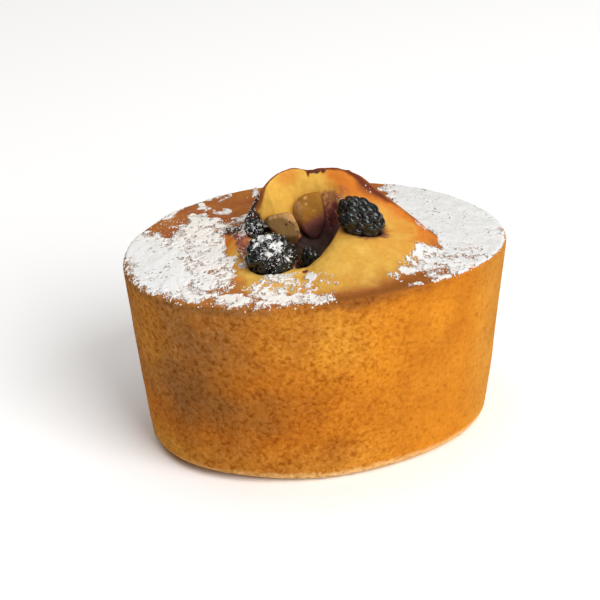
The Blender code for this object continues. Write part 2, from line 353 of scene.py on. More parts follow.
cakeValues = {
    "topLength": 88.0, "topWidth": 62.4,
    "baseLength": 79.8, "baseWidth": 53.2,
    "ovalPower": 2.05, "egg": 0.06,
    "rimHeight": 45.8, "rimArch": 2.0, "crustRise": 0.8,
    "rimRound": 0.9, "footRound": 2.4, "wallBulge": 0.15,
    "crater": (-2.0, -5.0), "craterFloor": 46.6,
    "domeFullness": 0.64, "footStep": 0.15, "footMargin": 1.2,
    "footCurl": 1.3,          # lift of the lower edge at the left of the front
    "segments": 620,
    "spanSteps": (6, 8, 12, 12, 10, 14, 14, 12, 16),
    "rimSteps": 4, "wallSteps": 96, "roundSteps": 12, "flatSteps": 8,
    # bearing round the crater, then (radius, height) of wall foot, lip and crest, then the dome's foot
    "sections": (
        (-158, (11, 47), (13.5, 48.2), (15, 48.5), 18), (-112, (7, 46.8), (10, 48.2), (11.6, 48.6), 20.5),
        (-92, (5, 46.8), (7.9, 49.6), (10.5, 50.6), 22.5), (-65, (3.5, 47), (6.2, 51), (9.8, 52.2), 23.8),
        (-36, (3.5, 47.4), (6, 52.4), (12, 52.8), 25.5), (-14, (3.8, 47.6), (6.4, 52.8), (21, 51.2), 29),
        (-5, (3.9, 47.7), (6.6, 53), (22.8, 51.6), 28.8), (3, (4, 47.8), (6.8, 53), (20.8, 53.3), 28),
        (14, (4.5, 48), (7.4, 53.2), (18.8, 55.5), 26.5),
        (26, (5.5, 48.2), (8.6, 54.5), (16.6, 57.9), 25.5),
        (37, (6.5, 48.5), (10, 56.8), (15, 60.7), 25.5), (50, (7, 48.8), (11, 59.5), (13.6, 61.8), 25),
        (68, (7, 49.2), (10.6, 60.5), (12.2, 62), 24.5),
        (81, (6.8, 49.2), (10.4, 60.3), (11.7, 61.75), 24),
        (94, (7, 49.2), (11, 60.8), (12.3, 62.3), 23.5),
        (112, (7.4, 49.2), (11.6, 60.2), (12.7, 61.7), 22),
        (129, (8.4, 49), (11.9, 58.2), (12.9, 59.9), 19.5),
        (136, (10.4, 48.6), (12.2, 54), (13.2, 55.6), 20), (143, (11.2, 48), (13, 50.4), (14.4, 51.4), 20),
        (165, (12.5, 47.2), (15, 48.6), (16.2, 49.1), 19.5),
    ),
    # where bare crumb turns to crust: bearing, span along the profile, softness
    "crumbEdges": (
        (-176, 7, 0.3), (-158, 7.3, 0.3), (-135, 7.7, 0.3), (-112, 7.4, 0.3), (-92, 6.8, 0.3),
        (-36, 6.75, 0.3), (-14, 6.2, 0.4), (-4, 5.3, 0.25), (8, 4.95, 0.15), (50, 4.75, 0.2),
        (90, 4.95, 0.08), (132, 4.9, 0.1), (143, 5.6, 0.3), (165, 6.7, 0.3),
    ),
    # the next three tables: bearing, strength, span it is centred on, half width in spans
    # scorched edge
    "scorch": (
        (-4, 0, 5.3, 0.3), (6, 0.1, 5.3, 0.3), (13, 0.7, 5.12, 0.24), (20, 1, 5.06, 0.27),
        (28, 1, 5.02, 0.3), (34, 1, 5.02, 0.22), (45, 0.9, 5.02, 0.16), (54, 0.8, 4.99, 0.15),
        (62, 0.85, 4.96, 0.19), (70, 1, 4.88, 0.26), (78, 1, 4.86, 0.26), (86, 0.8, 5, 0.14),
        (100, 0.65, 5.05, 0.1), (128, 0.5, 5.05, 0.1), (145, 0, 5, 0.2),
    ),
    "scorchSide": (60.0, 90.0),         # bearing it faces, and the degrees it keeps to on either side
    # browned rim of the torn crumb, up to the notch between the dome's lobes
    "brownedRim": (
        (-30, 0, 5.6, 0.5), (-14, 0.9, 5.9, 0.6), (0, 1, 5.2, 0.42), (12, 1, 5, 0.32), (26, 1, 4.74, 0.4),
        (40, 1, 4.45, 0.6), (54, 1, 4.5, 0.55), (65.5, 0.51, 4.6, 0.41), (66.3, 0.5, 4.6, 0.4),
        (66.5, 0, 5.5, 0.5),
    ),
    # brown fold between the dome's foot and the rim, with painted shade in the fold
    "shadedFoldBrown": (
        (-128, 0, 7.6, 1), (-104, 0.6, 8.3, 1.2), (-86, 1, 8.4, 1.4), (-60, 1, 8.1, 1.3),
        (-46, 0.85, 7.9, 1.2), (-28, 0.4, 7.5, 0.8), (-12, 0, 7.3, 0.6),
    ),
    # spots: centre, reach, strength
    # juice soaked into the crumb
    "stains": (
        ((-1.5, -4.5, 47), 7.6, 1), ((2.4, -3.4, 50.8), 4.7, 1), ((4.2, 0.6, 52.6), 4.6, 0.66),
        ((4.2, 1.8, 55.6), 3.6, 0.5), ((6, 1.4, 57), 3.4, 0.26), ((-16.4, 2.4, 49.6), 2.6, 0.62),
        ((-16.6, -0.6, 49.2), 2.5, 0.62), ((-16.9, -3.6, 49), 2.4, 0.6), ((-17.3, -6.2, 48.8), 2, 0.5),
        ((-4, -10.5, 47.5), 4.2, 1), ((9, -7.9, 53), 6.6, 0.5), ((12.6, -10.2, 52.6), 2.6, 0.55),
        ((-13, -9.5, 47.5), 6.6, 0.5), ((-6.2, -17, 48.6), 0.9, 0.8), ((0, 1, 50), 5, 0.9),
    ),
    # dark, dusted crust on the dome's left flank beside the small berry at the back, partly darker crust and
    # partly painted shade; and a burnt dark edge along the crest of the right lobe
    "shades": (
        ((-15, 6.6, 51.4), 4.8, 1), ((-12.6, 7, 55.8), 3, 0.8), ((-16.4, 4, 49.6), 3.4, 1),
        ((-17.2, 8.4, 48.6), 4.4, 0.95), ((-14, 4, 52.4), 3.2, 0.9), ((3.2, 5.2, 62.2), 1.3, 0.8),
        ((1.8, 5.9, 62.1), 1.3, 1), ((0.7, 6.3, 62), 1.2, 1),
    ),
    # crumb browned to orange
    "toasts": (
        ((7, 4, 60.6), 4.2, 0.7), ((8.5, 2.5, 58.5), 3.5, 0.6), ((-9.5, 3.5, 51), 3, 0.8),
        ((-19.6, 3.6, 48.8), 4.4, 0.85), ((-19.8, -1.5, 48.2), 3.6, 0.5), ((-19.2, -9, 48), 4, 0.35),
        ((-14.5, 7, 51.5), 3, 0.9), ((-20.5, -15, 47.6), 1.8, 0.5), ((-16, -20, 47.6), 3, 0.45),
        ((-7, -24, 47.6), 3, 0.4), ((15, -12, 52), 9, 0.22), ((20, -8, 51.5), 5, 0.4),
        ((8.6, 3.6, 60.4), 3.4, 0.9), ((-5, 6.6, 61.6), 3.6, 0.55), ((23.8, -7.5, 48.6), 4.6, 0.95),
    ),
    # palest crumb; the first spot is painted light on the left lobe's inner face, which turns from the key
    # light
    "paleAndLitSpots": (
        ((-6, 5, 56.5), 8.5, 1), ((1.8, 5, 59.5), 4, 0.6), ((12, 0.3, 56.8), 2, 0.8),
    ),
    # bake of the wall, 0 brown to 1 bright; it darkens towards the left end, partly browner crust and partly
    # painted shade on the side turned from the key light, and darkens just under the rim: changes, each with
    # the ranges over which it comes in
    "bakeAtLeft": -0.02,
    "bakeAndShadeRanges": (
        (0.79, ("x", -42, 14)),
        (0.24, ("height", 22, 35), ("x", 20, 4)),
        (0.12, ("height", 21, 4)),
        (0.36, ("height", 21, 4), ("x", -6, -34)),
        (0.34, ("x", -34, -41.5)),
        (-0.1, ("height", 24, 34), ("x", -14, -26), ("x", -40, -33)),
        (0.16, ("height", 24, 12), ("x", -26, -36)),
        (-0.14, ("underRim", 2.6, 0.3)),
        (-0.14, ("underRim", 2.6, 0.3), ("x", 16, -6)),
    ),
    "rimShadow": (6.0, 10.0, 0.34),     # x it is centred on, half width, strength
    # brighter or browner places on the wall: centre, reach, change of bake
    "wallPlaces": (
        ((-7.9, -30.5, 42), 5, -0.2), ((-4.6, -30.2, 35.6), 5, 0.16), ((-1, -27.5, 8), 7, -0.24),
        ((-33, -17.5, 15), 7, 0.06), ((-15.6, -26.3, 9.6), 6, 0.2), ((3, -30.7, 44.6), 6, -0.16),
        ((22, -25.2, 38), 7, 0.12), ((6.3, -27.8, 18), 7, -0.1), ((-25.6, -25.4, 37), 6, 0.1),
    ),
    # paler, straw-coloured parts of the wall, and painted sheen near both ends of the wall, where it turns
    # away
    "strawAndSheenRanges": (
        (0.7, ("height", 24, 38), ("x", 12, -4)),
        (0.9, ("height", 14, 4), ("x", 14, -2)),
        (0.9, ("height", 14, 22), ("x", -32, -40)),
        (1.0, ("x", 27, 38)),
    ),
    # relief: depth, size of its bumps, layers and seed
    "slowRelief": (0.22, 14.0, 2, 21), "topRelief": (0.10, 3.2, 3, 31), "crumbRelief": (0.16, 2.0, 3, 41),
    "fineRelief": (0.055, 0.9, 2, 51), "tornRelief": (0.32, 1.3, 3, 55),
    "tornSpan": (4.95, 0.4),
    "poreGap": 1.25, "wallPore": 0.22, "crumbPore": 0.05,
    "crackBearing": 81.0, "crackDepth": 0.6, "crackWidth": 0.8,
    "grainShare": (1.0, 0.34),          # how strongly the wall's grain shows, left end and right
}
topSpans = float(len(cakeValues["spanSteps"]))


def sectionValues(table, column, bearings):
    # smooth value between the table's bearings, without overshoot
    rows = np.array([np.hstack(row) for row in table], dtype=float)
    angles = np.concatenate([rows[:, 0] - 360.0, rows[:, 0], rows[:, 0] + 360.0])
    heights = np.tile(rows[:, column], 3)
    slopes = np.diff(heights) / np.diff(angles)
    product = slopes[:-1] * slopes[1:]
    total = slopes[:-1] + slopes[1:]
    inner = np.where(product > 0.0, 2.0 * product / np.where(product > 0.0, total, 1.0), 0.0)
    tangents = np.concatenate([[0.0], inner, [0.0]])
    here = np.clip(np.searchsorted(angles, bearings, side="right") - 1, 0, len(angles) - 2)
    span = angles[here + 1] - angles[here]
    t = (bearings - angles[here]) / span
    value = heights[here] * (1 + 2 * t) * (1 - t) ** 2 + heights[here + 1] * t * t * (3 - 2 * t)
    return value + span * (tangents[here] * t * (1 - t) ** 2 + tangents[here + 1] * t * t * (t - 1))


def ovalPoints(turns, halfLength, halfWidth):
    power = 2.0 / cakeValues["ovalPower"]
    x = halfLength * np.sign(np.cos(turns)) * np.abs(np.cos(turns)) ** power
    y = halfWidth * np.sign(np.sin(turns)) * np.abs(np.sin(turns)) ** power
    return x, y * (1.0 - cakeValues["egg"] * x / halfLength)


def rimHeight(x):
    return cakeValues["rimHeight"] + cakeValues["rimArch"] * (1.0 - (2.0 * x / cakeValues["topLength"]) ** 2)


def ovalShare(x, y):
    halfLength = cakeValues["topLength"] / 2
    halfWidth = cakeValues["topWidth"] / 2 * (1.0 - cakeValues["egg"] * x / halfLength)
    power = cakeValues["ovalPower"]
    return (np.abs(x / halfLength) ** power + np.abs(y / halfWidth) ** power) ** (1.0 / power)


def crustHeight(x, y):
    return rimHeight(x) + cakeValues["crustRise"] * (1.0 - np.minimum(ovalShare(x, y), 1.0) ** 2)


def smoothCurve(points, steps):
    # centripetal curve through rows of points, steps[i] in span i; the spans are returned too
    knots = [2 * points[0] - points[1], *points, 2 * points[-1] - points[-2]]
    curve = []
    spans = []
    for i, count in enumerate(steps):
        p = knots[i:i + 4]
        t = [np.zeros((len(p[0]), 1))]
        for a, b in zip(p, p[1:]):
            t.append(t[-1] + np.sqrt(np.linalg.norm(b - a, axis=1, keepdims=True)))
        for k in range(count):
            s = t[1] + (t[2] - t[1]) * k / count
            a = [((t[j + 1] - s) * p[j] + (s - t[j]) * p[j + 1]) / (t[j + 1] - t[j]) for j in range(3)]
            b = [((t[j + 2] - s) * a[j] + (s - t[j]) * a[j + 1]) / (t[j + 2] - t[j]) for j in range(2)]
            curve.append(((t[2] - s) * b[0] + (s - t[1]) * b[1]) / (t[2] - t[1]))
            spans.append(i + k / count)
    curve.append(points[-1])
    spans.append(float(len(steps)))
    return curve, spans


def topRings(turns):
    v = cakeValues
    craterX, craterY = v["crater"]
    edgeX, edgeY = ovalPoints(turns, v["topLength"] / 2 - v["rimRound"], v["topWidth"] / 2 - v["rimRound"])
    reach = np.hypot(edgeX - craterX, edgeY - craterY)
    alongX, alongY = (edgeX - craterX) / reach, (edgeY - craterY) / reach
    bearings = np.degrees(np.arctan2(alongY, alongX))
    columns = [sectionValues(v["sections"], k, bearings) for k in range(1, 8)]

    def crust(radius):
        return np.stack([radius, crustHeight(craterX + alongX * radius, craterY + alongY * radius)], axis=1)

    wallFoot, lip, crest = (np.stack(columns[k:k + 2], axis=1) for k in (0, 2, 4))
    footRadius = np.minimum(columns[6], reach - v["footMargin"])
    foot = crust(footRadius) + np.array([0.0, v["footStep"]])
    flankHeight = foot[:, 1] + v["domeFullness"] * (crest[:, 1] - foot[:, 1])
    flank = np.stack([(crest[:, 0] + foot[:, 0]) / 2, flankHeight], axis=1)
    middle = np.tile([0.0, v["craterFloor"]], (len(turns), 1))
    knots = [middle, (middle + wallFoot) / 2, wallFoot, (wallFoot + lip) / 2, lip, crest, flank, foot,
             crust((footRadius + reach) / 2), crust(reach)]
    curve, spans = smoothCurve(knots, v["spanSteps"])
    rings = []
    for radius, height in (c.T for c in curve):
        rings.append(np.stack([craterX + alongX * radius, craterY + alongY * radius, height], axis=1))
    return rings, spans, bearings


def sideRings(turns):
    v = cakeValues
    top = rimHeight(ovalPoints(turns, v["topLength"] / 2, v["topWidth"] / 2)[0])

    def ring(height, inset):
        part = height / top
        halfLength = (v["baseLength"] + (v["topLength"] - v["baseLength"]) * part) / 2 - inset
        halfWidth = (v["baseWidth"] + (v["topWidth"] - v["baseWidth"]) * part) / 2 - inset
        x, y = ovalPoints(turns, halfLength, halfWidth)
        return np.stack([x, y, height + 0.0 * turns], axis=1)

    rings = []
    for k in range(1, v["rimSteps"]):
        angle = pi / 2 * k / v["rimSteps"]
        rings.append(ring(top - v["rimRound"] * (1 - cos(angle)), v["rimRound"] * (1 - sin(angle))))
    for k in range(v["wallSteps"] + 1):
        part = k / v["wallSteps"]
        height = (top - v["rimRound"]) * (1 - part) + v["footRound"] * part
        rings.append(ring(height, -v["wallBulge"] * sin(pi * part)))
    for k in range(1, v["roundSteps"] + 1):
        angle = pi / 2 * k / v["roundSteps"]
        rings.append(ring(v["footRound"] * (1 - sin(angle)), v["footRound"] * (1 - cos(angle))))
    outer = rings[-1]
    for k in range(1, v["flatSteps"]):
        rings.append(outer * np.array([1 - k / v["flatSteps"], 1 - k / v["flatSteps"], 1.0]))
    return rings


def ringFaces(ringCount, segments):
    # quads between the rings, and a fan at each pole
    rows = np.arange(ringCount - 1)[:, None] * segments
    here = np.arange(segments)[None, :]
    beyond = (here + 1) % segments
    quads = np.stack([rows + here, rows + segments + here, rows + segments + beyond, rows + beyond], axis=-1)
    faces = (quads.reshape(-1, 4) + 1).tolist()
    last = 1 + (ringCount - 1) * segments
    for k in range(segments):
        after = (k + 1) % segments
        faces.append([0, 1 + k, 1 + after])
        faces.append([last + segments, last + after, last + k])
    return faces


def pressFruit(places):
    # crumb inside a piece of fruit is pressed down to the skin of its lower half
    for name, centre, sizeOf in fruitForms():
        offsets = places - centre
        inside = sizeOf(name, offsets) < 1.0
        offsets[:, 2] = -np.abs(offsets[:, 2])
        skin = centre + offsets / np.maximum(sizeOf(name, offsets), 0.05)[:, None]
        places = np.where(inside[:, None], skin, places)
    return places


def ringShare(table, bearing, span):
    # share along a ring of the profile: strength, middle and half width wander with the bearing
    strength, middle, width = (sectionValues(table, k, bearing) for k in (1, 2, 3))
    return strength * np.exp(-((span - middle) / width) ** 2)


def spotFades(spots, places, wander, inner):
    # full strength within the inner part of each spot's reach, nothing beyond it
    for spot, reach, power in spots:
        gap = np.linalg.norm(places - np.array(spot), axis=1) * (1.0 + wander)
        yield power * smoothStep(1.0, inner, gap / reach)


def spotShare(spots, places, wander, inner=0.4):
    return np.maximum.reduce([np.zeros(len(places)), *spotFades(spots, places, wander, inner)])


def rangeSum(rows, along):
    # each amount comes in over all of its ranges
    total = 0.0
    for amount, *ranges in rows:
        for name, low, high in ranges:
            amount = amount * smoothStep(low, high, along[name])
        total = total + amount
    return total


def cakeShares(places, span, bearing):
    # how much of each colour lies at every vertex, with uneven edges
    v = cakeValues
    x, height = places[:, 0], places[:, 2]
    wander = layeredNoise(places, 2.4, 3, 3)
    blotch = 0.3 * wander
    below = rimHeight(x) - height
    wall = smoothStep(topSpans - 0.02, topSpans + 0.02, span)
    top = 1.0 - wall

    edge, soft = (sectionValues(v["crumbEdges"], k, bearing) for k in (1, 2))
    crust = smoothStep(edge - soft, edge + soft, span + wander * soft * 0.9)
    facing, side = v["scorchSide"]
    scorch = ringShare(v["scorch"], bearing, span + wander * 0.08)
    scorch = np.where(np.abs((bearing - facing + 180.0) % 360.0 - 180.0) < side, scorch, 0.0)
    rimToast = ringShare(v["brownedRim"], bearing, span + wander * 0.12)
    shadedFold = ringShare(v["shadedFoldBrown"], bearing, np.minimum(span, topSpans) + wander * 0.25)
    # a paler band along the rounded foot: painted light on the foot, which faces down
    paleAndLit = smoothStep(3.1, 1.5, height + 0.5 * wander) * wall * (0.4 + 0.6 * smoothStep(-30.0, -8.0, x))

    along = {"x": x, "height": height, "underRim": below + 1.6 * wander}
    # the wall darkens towards its left end: partly browner crust, partly painted shade on the side turned
    # from the key light
    bake = v["bakeAtLeft"] + rangeSum(v["bakeAndShadeRanges"], along) + 0.14 * layeredNoise(places, 9.0, 3, 13)
    middle, width, depth = v["rimShadow"]
    bake -= depth * np.exp(-((x - middle) / width) ** 2) * smoothStep(5.6, 0.8, below + 1.2 * wander)
    bake += sum(spotFades(v["wallPlaces"], places, blotch, 0.2))
    # straw tint mid-wall, and painted sheen near both ends
    strawAndSheen = rangeSum(v["strawAndSheenRanges"], along) + 0.25 * layeredNoise(places, 11.0, 2, 17)
    return {
        "wall": wall,
        "crust": crust,
        "scorch": scorch,
        "stain": spotShare(v["stains"], places, 0.22 * wander, 0.62) * top,
        "toast": np.maximum(rimToast, spotShare(v["toasts"], places, blotch)) * top,
        "shade": spotShare(v["shades"], places, blotch) * top,
        "paleAndLit": np.maximum(paleAndLit, spotShare(v["paleAndLitSpots"], places, blotch) * (1.0 - crust)),
        "shadedFold": shadedFold * smoothStep(2.4, 0.2, below + 0.5 * wander),
        "bake": np.clip(bake, 0.0, 1.0),
        "strawAndSheen": np.clip(strawAndSheen, 0.0, 1.0) * wall,
    }


def cakeRelief(places, span, bearing, shares):
    # rise of every vertex: slow unevenness, torn crumb, pores, and the crack in the back wall
    v = cakeValues

    def relief(name):
        depth, size, layers, seed = v[name + "Relief"]
        return depth * layeredNoise(places, size, layers, seed)

    wall, inside = shares["wall"], 1.0 - shares["crust"]
    rise = relief("slow") * (0.35 + 0.65 * wall) + relief("top") * (1.0 - wall) + relief("crumb") * inside
    rise += relief("fine") * (0.9 + 0.1 * np.maximum(wall, inside))
    middle, width = v["tornSpan"]
    torn = np.exp(-((span - middle) / width) ** 2)
    rise += relief("torn") * torn * smoothStep(-30.0, -5.0, bearing) * smoothStep(155.0, 140.0, bearing)
    gap, draw = nearestSpot(places, v["poreGap"], 61)
    pore = smoothStep(0.42, 0.16, gap) * smoothStep(0.45, 0.8, draw)
    rise -= pore * (v["wallPore"] * wall + v["crumbPore"] * inside)
    outward = np.hypot(places[:, 0] - v["crater"][0], places[:, 1] - v["crater"][1])
    turnAway = np.radians(bearing - v["crackBearing"]) * np.maximum(outward, 1.0)
    crack = np.exp(-(turnAway / (v["crackWidth"] * 0.35)) ** 2)
    crack *= smoothStep(3.9, 4.5, span) * smoothStep(5.1, 4.85, span)
    return rise - v["crackDepth"] * crack, pore, crack


def buildCake(material):
    v = cakeValues
    turns = np.linspace(0.0, 2.0 * pi, v["segments"], endpoint=False)
    rings, spans, bearings = topRings(turns)
    centre = rings[0][0]
    sides = sideRings(turns)
    rings = rings[1:] + sides
    spans = spans[1:] + [topSpans + (k + 1) / len(sides) for k in range(len(sides))]
    places = np.concatenate([centre[None], *rings, np.zeros((1, 3))])
    span = np.concatenate([[0.0], np.repeat(spans, v["segments"]), [topSpans + 1.0]])
    bearing = np.concatenate([[0.0], np.tile(bearings, len(rings)), [0.0]])
    piece = meshPiece("cake_body", places, ringFaces(len(rings), v["segments"]), material)
    shares = cakeShares(places, span, bearing)
    rise, pore, crack = cakeRelief(places, span, bearing, shares)

    # the relief fades out at the foot, and the foot curls up at the left of the front
    x, y, height = places.T
    halfWidth = v["baseWidth"] / 2 * (1.0 - v["egg"] * x / (v["topLength"] / 2))
    rim = np.hypot(x / (v["baseLength"] / 2), y / halfWidth)
    byEdge = smoothStep(0.84, 1.0, rim) * smoothStep(8.0, 0.5, height)
    curl = v["footCurl"] * smoothStep(-2.0, -26.0, x) * byEdge
    moved = places + vertexNormals(piece) * (rise * smoothStep(0.0, 1.2, height))[:, None]
    moved[:, 2] += curl * (moved[:, 1] < 0.0)
    moved = pressFruit(moved)
    moved[:, 2] = np.maximum(moved[:, 2], 0.0)
    movePlaces(piece, moved)

    # grain, and thin sugar wherever the crust looks up
    left, right = v["grainShare"]
    wall, top = shares["wall"], 1.0 - shares["wall"]
    wallGrain = left + (right - left) * smoothStep(-6.0, 26.0, x)
    above = moved[:, 2] - crustHeight(x, moved[:, 1])
    lookUp = smoothStep(0.3, 0.75, vertexNormals(piece)[:, 2])
    dusting = sugarCover(x, moved[:, 1]) * lookUp * smoothStep(0.9, 0.4, above)
    # the crack in the back wall takes the scorch colour: painted shade along the crack
    shares["scorch"] = np.clip(shares["scorch"] + crack * 0.8, 0.0, 1.0)
    shares["pore"] = pore * (0.15 + 0.85 * wall)
    shares["grainShare"] = np.where(wall > 0.5, wallGrain, 0.12 + 0.16 * shares["crust"])
    shares["dusting"] = np.maximum(dusting, 0.5 * shares["shade"] * (x < -8.0)) * top
    # crust under the sugar dulled to grey olive: partly dusted crust, partly painted shade in the sheet's
    # holes
    shares["shadedUnderSugar"] = smoothStep(0.2, 0.8, dusting) * smoothStep(-22.0, -14.0, moved[:, 1]) * top
    for name, values in shares.items():
        storeShare(piece, name, values)
    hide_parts("cake")
    return piece, shares["stain"], span


cakeColours = {
    "crumb": (0.65, 0.385, 0.074),
    "crumbDeep": (0.58, 0.30, 0.048),
    # palest crumb, and painted light on the left lobe's face
    "crumbPaleAndLit": (0.70, 0.39, 0.066),
    "toast": (0.56, 0.164, 0.021),
    "crust": (0.39, 0.145, 0.032),
    "crustDark": (0.30, 0.082, 0.026),
    # brown crust and painted shade in the fold at the dome's foot
    "shadedFold": (0.235, 0.076, 0.013),
    "shade": (0.060, 0.030, 0.018),
    # crust under the sugar, partly painted shade
    "shadedUnderSugar": (0.20, 0.125, 0.062),
    # brown end of the wall's colour, partly painted shade where the wall turns from the key light
    "wallBrownAndShade": (0.250, 0.094, 0.0175),
    "wallMiddle": (0.455, 0.138, 0.0086),
    "wallBright": (0.63, 0.224, 0.0135),
    # painted light along the rounded foot of the wall
    "wallFootLight": (0.76, 0.46, 0.17),
    # straw tint, and painted sheen near both ends of the wall
    "strawAndSheenTint": (1.0, 1.22, 2.25),
    "scorch": (0.13, 0.028, 0.013),
    "juice": (0.052, 0.017, 0.017),
    "juiceThin": (0.23, 0.062, 0.051),
    # pores, pits and dashes darker and raised specks lighter: partly crumb tone, partly painted shade and
    # painted highlights
    "pit": (0.30, 0.075, 0.002),
    "pitShadeTint": (0.65, 0.50, 0.18),
    "speckHighlightTint": (1.17, 1.31, 2.0),
    "thinSugar": (0.70, 0.66, 0.63),
}


def makeCakeMaterial():
    c = cakeColours
    material, tree, shader, vector = startMaterial(
        "bakedCrumb", Specular_IOR_Level=0.08, Subsurface_Weight=0.08,
        Subsurface_Radius=(0.0018, 0.0010, 0.0004), Subsurface_Scale=1.0)
    grain = placeGroup(tree, crumbGroup, vector, Scale=930.0, Dash_Width=0.05).outputs
    mottle, grainShare = grain["Mottle"], share(tree, "grainShare")
    fleck = noiseNode(tree, vector, 760.0, 3.0, 0.7)

    # wall colour from brown to bright, with painted shade at the left end, painted sheen near both ends and
    # painted light along the foot
    bake = plus(tree, share(tree, "bake"), remap(tree, mottle, 0.3, 0.7, -0.14, 0.14))
    wallColour = layerColours(
        tree, c["wallBrownAndShade"],
        (remap(tree, bake, 0.0, 0.5), c["wallMiddle"]),
        (remap(tree, bake, 0.5, 1.0), c["wallBright"]),
        ("strawAndSheen", c["strawAndSheenTint"], "MULTIPLY"),
        ("paleAndLit", c["wallFootLight"]))

    ripple = noiseNode(tree, vector, 270.0, 4.0, 0.6, 0.6)
    rippled = plus(tree, mottle, remap(tree, ripple, 0.3, 0.7, -0.22, 0.22))
    crustColour = layerColours(tree, c["crustDark"], (remap(tree, mottle, 0.35, 0.62), c["crust"]))
    shaded = plus(tree, share(tree, "shade"), remap(tree, mottle, 0.3, 0.7, -0.3, 0.3))
    # crumb colour; its palest parts are partly painted light on the left lobe's face
    topColour = layerColours(
        tree, c["crumbDeep"],
        (remap(tree, rippled, 0.35, 0.65), c["crumb"]),
        ("paleAndLit", c["crumbPaleAndLit"]),
        ("crust", crustColour),
        ("toast", c["toast"]),
        (times(tree, share(tree, "shadedUnderSugar"), 0.65), c["shadedUnderSugar"]),
        (remap(tree, shaded, 0.2, 0.7), c["shade"]))

    # the grain's sunk pits, dashes and pores are darkened and its raised specks lightened: partly the crumb's
    # own tone, partly painted shade in the pits and painted highlights on the specks
    dark = mathNode(tree, "MAXIMUM", grain["ShadedPits"], times(tree, grain["Dashes"], 0.7))
    stain = plus(tree, share(tree, "stain"), remap(tree, fleck, 0.3, 0.7, -0.2, 0.2))
    burn = plus(tree, share(tree, "scorch"), remap(tree, fleck, 0.3, 0.7, -0.1, 0.1))
    dusting = share(tree, "dusting")
    amount = remap(tree, dusting, 0.1, 0.9, 0.22, 0.47)
    dust = placeGroup(tree, dustGroup, vector, Scale=1500.0, Amount=amount)
    colour = layerColours(
        tree, topColour,
        ("wall", wallColour),
        ("shadedFold", c["shadedFold"]),
        (times(tree, dark, grainShare), c["pitShadeTint"], "MULTIPLY"),
        (times(tree, grain["Specks"], grainShare), c["speckHighlightTint"], "MULTIPLY"),
        (times(tree, share(tree, "pore"), 0.45), c["pit"]),
        (remap(tree, stain, 0.18, 0.66), c["juiceThin"]),
        (remap(tree, stain, 0.6, 0.95), c["juice"]),
        (remap(tree, burn, 0.15, 0.8), c["scorch"]),
        (times(tree, dust.outputs["Mask"], remap(tree, dusting, 0.1, 0.4, 0.0, 0.85)), c["thinSugar"]))
    tree.links.new(remap(tree, stain, 0.4, 0.85, 0.85, 0.4), shader.inputs["Roughness"])
    bumpShare = remap(tree, share(tree, "wall"), 0.0, 1.0, 0.45, 1.0)
    finishMaterial(tree, shader, colour, times(tree, grain["Height"], bumpShare), 0.0004, 0.6)
    return material


# berries: tilt in degrees, detail in subdivisions of the round cage
berryValues = {
    "berry_left": {"centre": (-12.6, -11.2, 50.5), "radii": (5.9, 5.4, 5.1), "tilt": (10.0, 12.0, 10.0),
                   "drupelets": 84, "seed": 1, "detail": 6},
    "berry_right": {"centre": (8.5, -7.9, 55.5), "radii": (6.1, 4.8, 4.3), "tilt": (0.0, 36.0, -12.0),
                    "drupelets": 72, "seed": 2, "detail": 6},
    "berry_back": {"centre": (-12.7, 3.4, 49.4), "radii": (3.0, 3.3, 3.4), "tilt": (0.0, -20.0, 35.0),
                   "drupelets": 30, "seed": 3, "detail": 5},
    "berry_deep": {"centre": (-3.9, -10.4, 48.2), "radii": (2.3, 2.6, 3.5), "tilt": (10.0, 0.0, 0.0),
                   "drupelets": 16, "seed": 4, "detail": 5},
}
drupeletSize = 0.33           # share of the berry's radius, on a berry of usualDrupelets
usualDrupelets = 34.0

chunkValues = {
    # cut faces: bearing and slope of the outward direction in degrees, distance from the centre
    # dark: heights between which the juice darkens it; paleAndLitSpots and pits: centre, reach, strength
    "fruit_chunk_large": {
        "centre": (-0.4, 3.0, 52.0),
        "faces": (
            (-10, 10, 3.3), (84, 57, 5.3), (141, 41, 4.9), (-166, 3, 3.9), (-174, -33, 3.6),
            (-83, -67, 5.2), (-20, -22, 3.7), (-108, 36, 4.6), (-93, 4, 4.3), (79, -20, 3.6),
        ),
        "dark": (55.5, 49.4), "darkSlope": 0.6, "olive": 0.3,
        # on the large chunk, painted light: its left face, which turns from the key light, and two small
        # painted highlights near its top
        "paleAndLitSpots": (
            ((-4.8, 1.8, 54.2), 3.8, 1.2), ((-1.9, 1.9, 57.3), 0.65, 0.75), ((-1.9, 0.9, 56.2), 0.55, 0.6),
        ),
        "pits": (),
    },
    "fruit_chunk_small": {
        "centre": (-7.4, -2.3, 52.4),
        "faces": (
            (97, 63, 3.5), (7, 17, 2.6), (-12, -15, 3.2), (-165, -44, 2.2), (179, 16, 4.6),
            (-106, 42, 2.7), (-105, -30, 3.4), (79, -28, 2.2), (-76, -65, 4.1),
        ),
        "dark": (50.6, 47.6), "darkSlope": 0.0, "olive": 1.0,
        "paleAndLitSpots": (
            ((-6.9, -2.7, 55.8), 1.5, 0.65), ((-6, -3.4, 55.2), 1.5, 0.7), ((-5.4, -4.2, 54.2), 1.2, 0.22),
            ((-5.2, -5.4, 53.2), 1, 0.2), ((-8.4, -2.4, 55.7), 0.9, 0.4), ((-9.6, -2.2, 55.5), 0.8, 0.4),
            ((-10.7, -2, 55.2), 0.8, 0.4),
        ),
        "pits": (
            ((-7.6, -4.1, 54.1), 0.5, 0.9), ((-6.7, -4, 54.7), 0.36, 1), ((-6.4, -4.2, 54.3), 0.36, 1),
            ((-6, -4.6, 54), 0.36, 1), ((-5.3, -6, 52.9), 0.45, 0.9),
        ),
    },
}
chunkSharpness = 9.0
chunkRelief = 0.02
chunkDetail = 6


